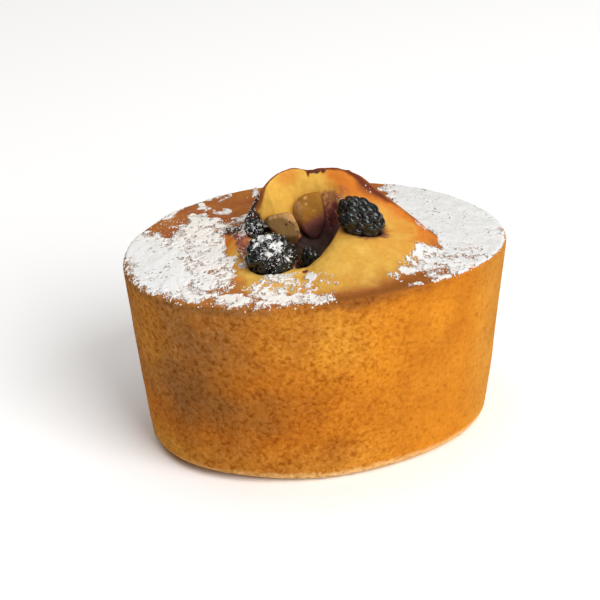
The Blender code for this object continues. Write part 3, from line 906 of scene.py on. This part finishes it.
def turnOf(tilt):
    return np.array(Euler([radians(a) for a in tilt]).to_matrix())


def berrySize(name, offsets):
    # how far out from the berry's centre a place is, 1 on its smooth outer form
    v = berryValues[name]
    return np.linalg.norm(offsets @ turnOf(v["tilt"]) / np.array(v["radii"]), axis=1)


def chunkSize(name, offsets):
    # the same for a chunk, 1 on the rounded block that its cut faces bound
    faces = np.array(chunkValues[name]["faces"])
    bearing, slope = np.radians(faces[:, 0]), np.radians(faces[:, 1])
    outward = np.stack([np.cos(slope) * np.cos(bearing), np.cos(slope) * np.sin(bearing), np.sin(slope)])
    shares = np.maximum(offsets @ outward / faces[:, 2], 0.0)
    return (shares ** chunkSharpness).sum(axis=1) ** (1.0 / chunkSharpness)


def fruitForms():
    for table, sizeOf in ((berryValues, berrySize), (chunkValues, chunkSize)):
        for name, v in table.items():
            yield name, np.array(v["centre"]), sizeOf


def drupeletCentres(count, seed):
    # an even spiral over the berry, each one nudged a little
    draw = np.random.default_rng(seed)
    golden = pi * (3.0 - sqrt(5.0))
    i = np.arange(count)
    z = 1.0 - (2.0 * i + 1.0) / count
    z = np.clip(z + draw.uniform(-1.0, 1.0, count) / count, -1.0, 1.0)
    around = golden * i + draw.uniform(-0.24, 0.24, count)
    width = np.sqrt(1.0 - z * z)
    return np.stack([width * np.cos(around), width * np.sin(around), z], axis=1)


def buildBerry(name, material):
    v = berryValues[name]
    directions, triangles = roundCage(v["detail"])
    size = drupeletSize * sqrt(usualDrupelets / v["drupelets"])
    centres = drupeletCentres(v["drupelets"], v["seed"]) * (1.0 - size)
    draw = np.random.default_rng(v["seed"] + 40)
    sizes = size * draw.uniform(0.82, 1.16, v["drupelets"])
    along = directions @ centres.T
    inside = along ** 2 - (centres ** 2).sum(axis=1) + sizes ** 2
    reach = np.where(inside > 0.0, along + np.sqrt(np.maximum(inside, 0.0)), 0.0).max(axis=1)
    reach = np.maximum(reach, 1.0 - size)
    local = directions * reach[:, None] * np.array(v["radii"])
    places = local @ turnOf(v["tilt"]).T + np.array(v["centre"])
    piece = meshPiece("fruit_" + name, places, triangles, material)
    storeShare(piece, "groove", smoothStep(1.0, 1.0 - 0.5 * size, reach))
    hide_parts(name)
    return piece


def buildChunk(name, material):
    v = chunkValues[name]
    directions, triangles = roundCage(chunkDetail)
    x, y, z = directions.T
    relief = 1.0 - chunkRelief * (1.0 + np.sin(3.1 * x + 2.0 * z) * np.cos(2.7 * y + 1.0))
    places = directions * (relief / chunkSize(name, directions))[:, None] + np.array(v["centre"])
    wander = layeredNoise(places, 2.2, 3, 71)
    pits = spotShare(v["pits"], places, 0.48 * wander)
    places += directions * (0.12 * wander - 0.22 * pits)[:, None]
    piece = meshPiece("cooked_" + name, places, triangles, material)
    lean = v["darkSlope"] * (places[:, 0] - v["centre"][0])
    level = places[:, 2] - lean + 0.8 * layeredNoise(places, 2.5, 2, 75)
    storeShare(piece, "depth", smoothStep(*v["dark"], level))
    storeShare(piece, "olive", np.full(len(places), v["olive"]))
    storeShare(piece, "paleAndLit", spotShare(v["paleAndLitSpots"], places, 0.72 * wander))
    storeShare(piece, "pit", pits)
    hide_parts(name)
    return piece


berryColours = {
    "skinDark": (0.005, 0.008, 0.006),
    "skinLight": (0.014, 0.018, 0.014),
    "groove": (0.012, 0.004, 0.006),
    "dust": (0.62, 0.62, 0.63),
}


def makeBerryMaterial(name, dusting):
    c = berryColours
    material, tree, shader, vector = startMaterial(name, Coat_Roughness=0.04, Specular_IOR_Level=0.28)
    skin = noiseNode(tree, vector, 900.0, 3.0, 0.6)
    dust = placeGroup(tree, dustGroup, vector, Scale=1500.0, Amount=dusting).outputs
    colour = layerColours(
        tree, c["skinDark"],
        (remap(tree, skin, 0.35, 0.65), c["skinLight"]),
        (times(tree, share(tree, "groove"), 0.5), c["groove"]),
        (dust["Mask"], c["dust"]))
    tree.links.new(remap(tree, dust["Mask"], 0.0, 1.0, 0.13, 0.9), shader.inputs["Roughness"])
    tree.links.new(remap(tree, dust["Mask"], 0.0, 1.0, 0.26, 0.0), shader.inputs["Coat Weight"])
    height = plus(tree, times(tree, skin, 0.4), dust["Height"])
    finishMaterial(tree, shader, colour, height, 0.00015, 0.5)
    return material


fruitColours = {
    "brown": (0.24, 0.112, 0.012),
    "gold": (0.42, 0.158, 0.009),
    "speck": (0.62, 0.40, 0.16),
    "olive": (0.168, 0.093, 0.030),
    # paler flesh, and painted light and painted highlights on the large chunk
    "paleAndLit": (0.58, 0.32, 0.125),
    "juiceThin": (0.205, 0.064, 0.054),
    "juice": (0.080, 0.030, 0.024),
    "pit": (0.05, 0.02, 0.012),
}


def makeFruitMaterial():
    c = fruitColours
    material, tree, shader, vector = startMaterial(
        "cookedFruit", Roughness=0.7, Specular_IOR_Level=0.08, Subsurface_Weight=0.45,
        Subsurface_Radius=(0.0025, 0.0015, 0.0006), Subsurface_Scale=1.0)
    flesh = placeGroup(tree, crumbGroup, vector, Scale=600.0, Dash_Width=0.03).outputs
    depth = share(tree, "depth")
    pits = mathNode(tree, "MAXIMUM", share(tree, "pit"), times(tree, flesh["Dashes"], 0.1))
    colour = layerColours(
        tree, c["brown"],
        (remap(tree, flesh["Mottle"], 0.35, 0.65), c["gold"]),
        (times(tree, flesh["Specks"], 0.12), c["speck"]),
        ("olive", c["olive"]),
        ("paleAndLit", c["paleAndLit"]),
        (remap(tree, depth, 0.05, 0.45), c["juiceThin"]),
        (remap(tree, depth, 0.50, 0.95), c["juice"]),
        (pits, c["pit"]))
    finishMaterial(tree, shader, colour, flesh["Height"], 0.0004, 0.6)
    return material


# a wet film lies where the stain is stronger than share, up to a span of the profile
juiceValues = {"share": 0.78, "film": 0.16, "lastSpan": 4.6, "shallow": (48.3, 51.6)}
juiceColours = {
    "dark": (0.023, 0.0145, 0.011),
    "light": (0.048, 0.0235, 0.018),
    "shallow": (0.145, 0.056, 0.050),
}


def buildJuice(cake, stain, span, material):
    # over the soaked part of the crater, as its own closed skin
    places = vertexPlaces(cake)
    v = juiceValues
    wet = (stain > v["share"]) & (span < v["lastSpan"])
    faces = [list(p.vertices) for p in cake.data.polygons if all(wet[i] for i in p.vertices)]
    lift = v["film"] * smoothStep(v["share"], 1.0, stain)
    film = skinOver("juice", places, vertexNormals(cake), faces, lift, material)
    shown = vertexPlaces(film)
    wander = layeredNoise(shown, 1.6, 3, 111)
    storeShare(film, "shallow", smoothStep(*v["shallow"], shown[:, 2] + 0.25 * shown[:, 0] + 1.2 * wander))
    return film


def makeJuiceMaterial():
    c = juiceColours
    material, tree, shader, vector = startMaterial("berryJuice", Roughness=0.45, Specular_IOR_Level=0.12)
    swirl = noiseNode(tree, vector, 420.0, 3.0, 0.6)
    colour = layerColours(
        tree, c["dark"],
        (remap(tree, swirl, 0.35, 0.65), c["light"]),
        ("shallow", c["shallow"]))
    finishMaterial(tree, shader, colour, swirl, 0.0005, 0.4)
    return material


sugarValues = {
    "grid": 0.26,             # spacing of the sheet's mesh
    "thickness": 0.34,
    "leastLift": 0.04,
    "noiseSpread": 0.30,      # usual size of the layered noise
    "wander": 2.0,            # how far the patches' outlines stray
    # patches: centre x and y, half length and half width, turn in degrees, share covered, softness
    "patches": (
        # thick at the left end
        (-42, 0, 11.5, 19, 8, 1.25, 0.3), (-29, -5, 9.5, 21, -10, 0.9, 0.2),
        (-24.5, 4, 6, 9.5, 0, 0.72, 0.35),
        # white between the brown patches at the back
        (-24, 14.8, 4.4, 3.4, -20, 0.9, 0.3), (-24.6, 18.6, 1.6, 3, -20, 0.85, 0.35),
        (-29.8, 23, 4.2, 1.6, 30, 0.92, 0.4), (-22.4, 24, 1, 2.4, 30, 0.9, 0.4),
        (-18.8, 19.4, 3, 1.2, -22, 1.05, 0.3), (-20.8, 13.2, 4, 1.1, -16, 0.8, 0.35),
        (-19.5, 28.6, 2, 1.8, 0, 0.9, 0.4), (-15.8, 27.5, 0.8, 2.6, -15, 0.7, 0.5),
        (-16.8, 12, 3, 4, -10, 0.4, 0.4), (-14.4, 14.4, 2.6, 1.5, 15, 0.78, 0.4),
        (-8.6, 28.5, 0.9, 3.4, -20, 0.62, 0.4),
        # clumps along the front rim
        (-23, -24, 3.6, 3.4, -40, 1, 0.3), (-15.5, -24.2, 3.2, 2.3, -15, 0.86, 0.35),
        (-13, -28, 11, 2.6, -4, 0.78, 0.35), (-12, -23.4, 11, 2.6, -4, 0.3, 0.35),
        (-5.4, -29.6, 3, 1.3, 0, 0.92, 0.35), (-10.5, -27.2, 2.2, 1.6, 0, 0.82, 0.4),
        # round the left berry
        (-12.6, -16.4, 4.2, 1.2, 4, 0.8, 0.4), (-18.2, -8, 0.8, 4.2, -6, 0.75, 0.4),
        (-22.4, -2.6, 2.2, 5, -8, 0.9, 0.3), (-14.5, -19.5, 5.5, 3, 0, 0.46, 0.4),
        (-5.6, -20.8, 1.5, 1.9, 15, 0.92, 0.35), (-3, -22.5, 1, 2.4, 0, 0.5, 0.5),
        # thick at the right end
        (37.5, 8, 15.2, 27, 4, 1.25, 0.12), (24.5, 18, 3.2, 9.5, 10, 0.93, 0.25),
        (31.5, -14, 11.5, 12.5, 24, 0.98, 0.2), (23, -20, 5, 6, 20, 0.84, 0.3),
        (21.8, -14.5, 1.4, 4.4, -4, 0.82, 0.35), (17.6, -19.6, 3.2, 2.2, 25, 0.66, 0.5),
        (11.9, -23.4, 2, 1, 14, 0.74, 0.5), (15.2, -26.4, 2.6, 0.9, 12, 0.62, 0.5),
    ),
    "bare": (
        # orange crumb by the left berry
        (-16.8, 4.4, 1.6, 2.6, 0, 1.2, 0.25), (-19.2, 1.2, 1.5, 5.6, -8, 1, 0.3),
        (-19.4, -6.5, 1, 5, -6, 0.55, 0.4), (-16.6, 4, 2.2, 5.6, -10, 0.8, 0.35),
        # brown wedge at the back edge
        (-33.6, 19.2, 3.2, 1.7, 8, 1.1, 0.35), (-29.4, 18.2, 2.6, 2, -40, 1.1, 0.35),
        (-22, 20.6, 4.2, 1, -38, 0.9, 0.35), (-26.4, 22.6, 1.3, 2.6, -8, 0.9, 0.35),
        # gaps in both ends
        (-21, -15.2, 1.8, 0.9, 10, 0.8, 0.4), (-24.4, -9.6, 1.8, 1.4, 10, 0.45, 0.5),
        (-30.8, -7.5, 0.8, 3.4, 0, 0.4, 0.5), (-31.2, -14.4, 1.2, 1.6, 0, 0.4, 0.5),
        (-27, -20, 3.6, 2.6, 40, 0.34, 0.5), (31, -14.5, 3.8, 2.4, 60, 0.36, 0.5),
        (24, -21, 4.4, 2, 30, 0.36, 0.5), (26.5, -16.5, 4, 1.6, 40, 0.22, 0.5),
        (22, 25.5, 2.6, 1.6, -25, 0.62, 0.4),
        # orange tongue at the dome's right foot, and the right edge
        (24.4, -6.8, 1.3, 7.2, 10, 1.4, 0.2), (20.4, -9.4, 5.2, 2.6, -42, 1.3, 0.2),
        (42.8, -5, 1.1, 3.6, 14, 0.5, 0.5),
    ),
    # bare places with loose grains on them: centre, reach, share
    "sprinkled": (
        ((-31.5, 19), 5.5, 0.11), ((-24, 20.5), 4, 0.1), ((-14.2, 6.4), 3.6, 0.6), ((-12.4, 8), 2.6, 0.5),
        ((-17, 3), 2.6, 0.12), ((-17.6, -3), 2.6, 0.1), ((5.6, 0.6), 1.8, 0.26), ((4.6, -1.4), 1.8, 0.08),
        ((13, 2), 2, 0.04),
    ),
    "rimWear": 0.85,          # share lost beside the front rim
    "steepest": 0.55,         # least upward normal that holds the sheet, and loose grains
    "steepestForGrains": 0.3,
    "climb": (4.5, 2.4, 1.1),     # how far up the dome it lies: back left, right, elsewhere
    "grains": 5200,
    "grainSize": (0.07, 0.18),
    "grainLift": 0.05,
    "grainTries": 20,         # places tried for each grain
    "lumps": 150,             # larger grains caught along the front rim
    "lumpSize": (0.13, 0.26),
    "dropHeight": 90.0,       # sugar is dropped on the cake from here
}


def patchShare(x, y, patch):
    centreX, centreY, long, wide, turn, cover, soft = patch
    c, s = cos(radians(turn)), sin(radians(turn))
    dx, dy = x - centreX, y - centreY
    reach = np.hypot((dx * c + dy * s) / long, (-dx * s + dy * c) / wide)
    return cover * smoothStep(1.0 + soft, 1.0 - soft, reach)


def edgeGap(x, y):
    # about how far a place is from the edge of the top
    return (1.0 - ovalShare(x, y)) * cakeValues["topWidth"] / 2


def sugarCover(x, y):
    # share of the crust that sugar hides; the patches' outlines wander
    v = sugarValues
    spots = flatPlaces(x, y)
    x = x + v["wander"] * layeredNoise(spots, 3.2, 3, 85)
    y = y + v["wander"] * layeredNoise(spots, 3.2, 3, 88)
    cover = np.zeros(len(x))
    for patch in v["patches"]:
        cover = np.maximum(cover, patchShare(x, y, patch))
    for patch in v["bare"]:
        cover -= patchShare(x, y, patch)
    wear = smoothStep(2.8, 0.5, edgeGap(x, y)) * smoothStep(9.0, -3.0, y) * smoothStep(22.0, 12.0, x)
    return cover - v["rimWear"] * wear


def sugarDepth(x, y):
    # more than 0 where sugar lies; holed where the covered share is under one
    spots = flatPlaces(x, y)
    cover = sugarCover(x, y) + 0.08 * layeredNoise(spots, 7.0, 2, 81)
    ragged = 0.45 * layeredNoise(spots, 1.8, 2, 91) + 0.55 * layeredNoise(spots, 0.7, 2, 95)
    rank = 0.5 + 0.5 * np.tanh(0.8 * ragged / (sugarValues["noiseSpread"] * 0.72))
    onTop = edgeGap(x, y) > 0.15 + 0.35 * valueNoise(spots, 0.9, 97)
    return np.where(onTop, cover - rank, -1.0)


def dropOn(tree, x, y, steepest):
    # where a drop from above lands, or nothing on ground that is too steep
    hit, normal, _, _ = tree.ray_cast(Vector((x, y, sugarValues["dropHeight"])), Vector((0.0, 0.0, -1.0)))
    return hit if hit is not None and normal.z > steepest else None


def buildSugarSheet(cake, material):
    v = sugarValues
    halfLength, halfWidth = cakeValues["topLength"] / 2, cakeValues["topWidth"] / 2
    gridX, gridY = np.meshgrid(np.arange(-halfLength, halfLength, v["grid"]),
                               np.arange(-halfWidth, halfWidth, v["grid"]))
    x, y = gridX.ravel(), gridY.ravel()
    depth = sugarDepth(x, y)
    tree = BVHTree.FromPolygons([tuple(p) for p in vertexPlaces(cake)],
                                [tuple(p.vertices) for p in cake.data.polygons])
    spots = flatPlaces(x, y)
    places = spots.copy()
    onCake = np.zeros(len(x), dtype=bool)
    for i in np.nonzero(depth > -0.3)[0]:
        hit = dropOn(tree, x[i], y[i], v["steepest"])
        if hit is not None:
            places[i] = hit
            onCake[i] = True
    backLeft, right, elsewhere = v["climb"]
    climb = np.where((x < -12.0) & (y > 0.0), backLeft, np.where(x > 16.0, right, elsewhere))
    climb += 1.6 * layeredNoise(spots, 4.0, 3, 105) * smoothStep(0.0, 8.0, y)
    onCake &= np.abs(places[:, 2] - crustHeight(x, y)) < climb
    index = np.arange(len(x)).reshape(gridX.shape)
    corners = np.stack([index[:-1, :-1], index[:-1, 1:], index[1:, 1:], index[1:, :-1]], axis=-1)
    corners = corners.reshape(-1, 4)
    keep = (depth[corners] > 0.0).all(axis=1) & onCake[corners].all(axis=1)
    lumps = 0.75 + 0.40 * layeredNoise(spots, 3.0, 2, 101) + 0.16 * layeredNoise(spots, 0.7, 2, 103)
    lift = v["thickness"] * np.sqrt(np.clip(depth, 0.0, 0.4) / 0.4) * lumps + v["leastLift"]
    up = np.tile([0.0, 0.0, 1.0], (len(x), 1))
    sheet = skinOver("icing_sugar", places, up, corners[keep].tolist(), lift, material)
    shown = vertexPlaces(sheet)
    cream = 2.0 * layeredNoise(shown, 9.0, 2, 107) + 0.12 * (shown[:, 0] + 27.0)
    storeShare(sheet, "thin", smoothStep(0.34, 0.02, sugarDepth(shown[:, 0], shown[:, 1])))
    # whiter sugar towards the left end: partly thicker sugar, partly painted light where the dome shades it
    # from the key light
    storeShare(sheet, "litHeap", smoothStep(4.0, -16.0, shown[:, 0]))
    storeShare(sheet, "cream", 0.5 + 0.5 * np.tanh(cream))
    return sheet, tree


def scatterGrains(name, spots, sizes, seed, material):
    # one small lumpy grain for each spot, all in one mesh
    draw = np.random.default_rng(seed)
    directions, triangles = roundCage(1)
    count = len(spots)
    stretch = draw.uniform(0.6, 1.3, (count, 1, 3))
    wobble = draw.uniform(0.85, 1.15, (count, len(directions), 1))
    places = spots[:, None, :] + directions[None] * stretch * wobble * sizes[:, None, None]
    faces = triangles[None] + (np.arange(count) * len(directions))[:, None, None]
    piece = meshPiece(name, places.reshape(-1, 3), faces.reshape(-1, 3).tolist(), material)
    storeShare(piece, "thin", np.repeat(draw.random(count) ** 2, len(directions)))
    return piece


def buildLooseGrains(tree, material):
    # grains round the edges of the sheet, and larger lumps caught along the front rim
    v = sugarValues
    draw = np.random.default_rng(7)
    halfLength, halfWidth = cakeValues["topLength"] / 2, cakeValues["topWidth"] / 2
    x = draw.uniform(-halfLength, halfLength, v["grains"] * v["grainTries"])
    y = draw.uniform(-halfWidth, halfWidth, len(x))
    depth, cover, gap = sugarDepth(x, y), sugarCover(x, y), edgeGap(x, y)
    chance = np.where(depth > 0.12, 0.06, np.where(depth > -0.3, 0.8, 0.1)) * smoothStep(0.12, 0.4, cover)
    for spot, reach, power in v["sprinkled"]:
        chance = np.maximum(chance, power * smoothStep(1.0, 0.5, np.hypot(x - spot[0], y - spot[1]) / reach))
    small = np.nonzero((draw.random(len(x)) < chance) & (gap > 0.1))[0][:v["grains"]]
    byRim = (gap > 0.2) & (gap < 2.0) & (y < 0.0) & (x < 0.0) & (cover > -0.5)
    large = np.nonzero(byRim & (draw.random(len(x)) < 0.2))[0][:v["lumps"]]
    smallSizes = draw.uniform(*v["grainSize"], len(small))
    sizes = np.concatenate([smallSizes, draw.uniform(*v["lumpSize"], len(large))])
    spots = []
    kept = []
    for k, i in enumerate([*small, *large]):
        hit = dropOn(tree, x[i], y[i], v["steepestForGrains"])
        if hit is not None:
            spots.append(hit[:])
            kept.append(k)
    centres = np.array(spots) + np.array([0.0, 0.0, v["grainLift"]])
    return scatterGrains("sugar_grains", centres, sizes[kept], 8, material)


dustValues = {
    # lumps on a berry: direction from its centre, reach in degrees, depth
    "berry_left": (
        ((-0.62, -0.22, 0.76), 19, 0.95), ((-0.42, -0.1, 0.9), 19, 0.95), ((-0.18, -0.04, 0.98), 19, 0.95),
        ((0.3, -0.52, 0.8), 22, 1), ((0.05, -0.62, 0.78), 24, 0.9), ((-0.3, -0.76, 0.58), 22, 0.9),
        ((0.1, -0.9, 0.3), 30, 0.45), ((0.62, -0.7, 0.1), 15, 1.1),
    ),
    "berry_back": (
        ((0.1, -0.45, 0.88), 24, 0.32), ((-0.75, -0.5, 0.4), 26, 0.4), ((-0.2, -0.9, 0.3), 24, 0.25),
    ),
    "least": 0.40,            # depth at which a lump shows
    "lift": 0.13,
    "grains": 420,            # on a berry of usualRadius, and by its area on others
    "grainSize": (0.05, 0.13),
    "usualRadius": 6.0,
}


def buildBerrySugar(name, berry, seed, material):
    # lumps of sugar caught between the drupelets, as a skin lifted off the berry
    v = dustValues
    places = vertexPlaces(berry)
    outward = places - np.array(berryValues[name]["centre"])
    outward /= np.linalg.norm(outward, axis=1)[:, None]
    depth = np.full(len(places), -1.0)
    for direction, reach, weight in v[name]:
        aim = np.array(direction) / np.linalg.norm(direction)
        angle = np.degrees(np.arccos(np.clip(outward @ aim, -1.0, 1.0)))
        depth = np.maximum(depth, (1.0 - angle / reach) * weight)
    sown = depth.copy()
    depth += 0.75 * layeredNoise(places, 0.7, 3, seed) + 0.45 * layeredNoise(places, 0.35, 2, seed + 3)
    wanted = depth > v["least"]
    faces = [list(p.vertices) for p in berry.data.polygons if all(wanted[i] for i in p.vertices)]
    lift = v["lift"] * np.sqrt(np.clip((depth - 0.38) / 0.6, 0.0, 1.0)) + 0.02
    piece = skinOver("sugar_" + name, places, vertexNormals(berry), faces, lift, material)

    # loose grains thinning out round the lumps
    draw = np.random.default_rng(seed)
    chance = np.clip(sown + 0.35, 0.0, 1.0) ** 2 + 0.04 * (outward[:, 2] > 0.0)
    count = int(v["grains"] * (berryValues[name]["radii"][0] / v["usualRadius"]) ** 2)
    spots = places[draw.choice(len(places), count, replace=False, p=chance / chance.sum())]
    scatterGrains("grains_" + name, spots, draw.uniform(*v["grainSize"], count), seed + 1, material)
    return piece


sugarColours = {
    "grey": (0.62, 0.62, 0.61),
    "white": (0.69, 0.69, 0.68),
    # whiter sugar at the left end, partly painted light
    "litHeap": (0.74, 0.74, 0.735),
    "cream": (0.76, 0.72, 0.665),
    "thin": (0.73, 0.54, 0.45),
    # dark specks where crust shows through the sugar, partly painted shade in the holes
    "gap": (0.20, 0.155, 0.115),
}


def makeSugarMaterial():
    c = sugarColours
    material, tree, shader, vector = startMaterial("icingSugar", Roughness=0.95, Specular_IOR_Level=0.2)
    powder = noiseNode(tree, vector, 2600.0, 4.0, 0.7)
    lumps = noiseNode(tree, vector, 420.0, 3.0, 0.6)
    fine = noiseNode(tree, vector, 1500.0, 1.0)
    cluster = noiseNode(tree, vector, 210.0, 2.0, 0.6)
    thin = share(tree, "thin")
    litHeapColour = layerColours(tree, c["litHeap"], ("cream", c["cream"]))
    # dark specks, more where the sugar is thin: partly crust showing through, partly painted shade in the
    # holes
    shadedGaps = plus(tree, plus(tree, fine, times(tree, cluster, 0.5)), times(tree, thin, 0.13))
    colour = layerColours(
        tree, c["grey"],
        (remap(tree, lumps, 0.35, 0.6), c["white"]),
        ("litHeap", litHeapColour),
        (remap(tree, thin, 0.25, 1.0, 0.0, 0.65), c["thin"]),
        (remap(tree, shadedGaps, 0.90, 1.0, 0.0, 0.85), c["gap"]))
    finishMaterial(tree, shader, colour, plus(tree, times(tree, powder, 0.5), lumps), 0.0003, 0.3)
    return material


tableValues = {
    "radius": 6.0,            # metres
    "corners": 96,
    "white": ((0.965, 0.965, 0.965), (0.985, 0.985, 0.985)),
}


def buildStage():
    v = tableValues
    bm = bmesh.new()
    bmesh.ops.create_circle(bm, cap_ends=True, segments=v["corners"], radius=v["radius"])
    mesh = bpy.data.meshes.new("table")
    bm.to_mesh(mesh)
    bm.free()
    floor = bpy.data.objects.new("table", mesh)
    bpy.context.scene.collection.objects.link(floor)
    material, tree, shader, vector = startMaterial("paleTable", Roughness=0.9, Specular_IOR_Level=0.1)
    dark, light = v["white"]
    colour = layerColours(tree, dark, (noiseNode(tree, vector, 3.0, 1.0), light))
    tree.links.new(colour, shader.inputs["Base Color"])
    floor.data.materials.append(material)


def addSoftbox(which):
    v = lightValues
    azimuth, elevation = radians(v[which + "Azimuth"]), radians(v[which + "Elevation"])
    data = bpy.data.lights.new(which + "Light", "AREA")
    data.shape = "SQUARE"
    data.size = v[which + "Size"]
    data.energy = v[which + "Power"]
    data.color = v[which + "Colour"]
    light = bpy.data.objects.new(which + "Light", data)
    toLight = Vector((cos(elevation) * cos(azimuth), cos(elevation) * sin(azimuth), sin(elevation)))
    light.location = Vector(v["aim"]) + toLight * v["distance"]
    light.rotation_euler = toLight.to_track_quat("Z", "Y").to_euler()
    bpy.context.scene.collection.objects.link(light)


def addLights():
    v = lightValues
    addSoftbox("key")
    addSoftbox("top")
    world = bpy.data.worlds.new("studio")
    world.use_nodes = True
    background = world.node_tree.nodes["Background"]
    background.inputs["Color"].default_value = (*v["skyColour"], 1.0)
    background.inputs["Strength"].default_value = v["skyFill"]
    bpy.context.scene.world = world
    bpy.context.scene.view_settings.view_transform = "Standard"


def addCamera():
    v = cameraValues
    yaw, elevation, roll = radians(v["yaw"]), radians(v["elevation"]), radians(v["roll"])
    back = Vector((sin(yaw) * cos(elevation), -cos(yaw) * cos(elevation), sin(elevation)))
    right = Vector((0.0, 0.0, 1.0)).cross(back).normalized()
    up = back.cross(right)
    right, up = cos(roll) * right + sin(roll) * up, cos(roll) * up - sin(roll) * right
    data = bpy.data.cameras.new("camera")
    data.sensor_fit = "HORIZONTAL"
    data.sensor_width = v["sensorWidth"]
    data.lens = v["focalPixels"] * v["sensorWidth"] / v["pictureWidth"]
    data.clip_start = v["clipStart"]
    camera = bpy.data.objects.new("camera", data)
    place = (Vector(v["target"]) + back * v["distance"]) * mm
    turn = Matrix((right, up, back)).transposed()
    camera.matrix_world = Matrix.Translation(place) @ turn.to_4x4()
    bpy.context.scene.collection.objects.link(camera)
    bpy.context.scene.camera = camera


addCamera()
addLights()
buildStage()
print("camera, light and table are in place")

cake, stain, span = buildCake(makeCakeMaterial())
print("cake:", len(cake.data.polygons), "faces")

sugar = makeSugarMaterial()
# how much dry sugar clings to each berry's skin
berryLooks = {
    "berry_left": makeBerryMaterial("berrySkinDusted", 0.32),
    "berry_right": makeBerryMaterial("berrySkin", 0.15),
    "berry_back": makeBerryMaterial("berrySkinHeavyDust", 0.36),
    "berry_deep": makeBerryMaterial("berrySkinWet", 0.12),
}
berries = {name: buildBerry(name, look) for name, look in berryLooks.items()}
fruitLook = makeFruitMaterial()
chunks = {name: buildChunk(name, fruitLook) for name in chunkValues}
print("fruit:", ", ".join([*berries, *chunks]))

juice = buildJuice(cake, stain, span, makeJuiceMaterial())
print("juice:", len(juice.data.polygons), "faces")

sheet, cakeTree = buildSugarSheet(cake, sugar)
grains = buildLooseGrains(cakeTree, sugar)
for seed, name in ((111, "berry_left"), (121, "berry_back")):
    buildBerrySugar(name, berries[name], seed, sugar)
print("icing sugar:", len(sheet.data.polygons), "faces in the sheet,", len(grains.data.polygons), "in grains")
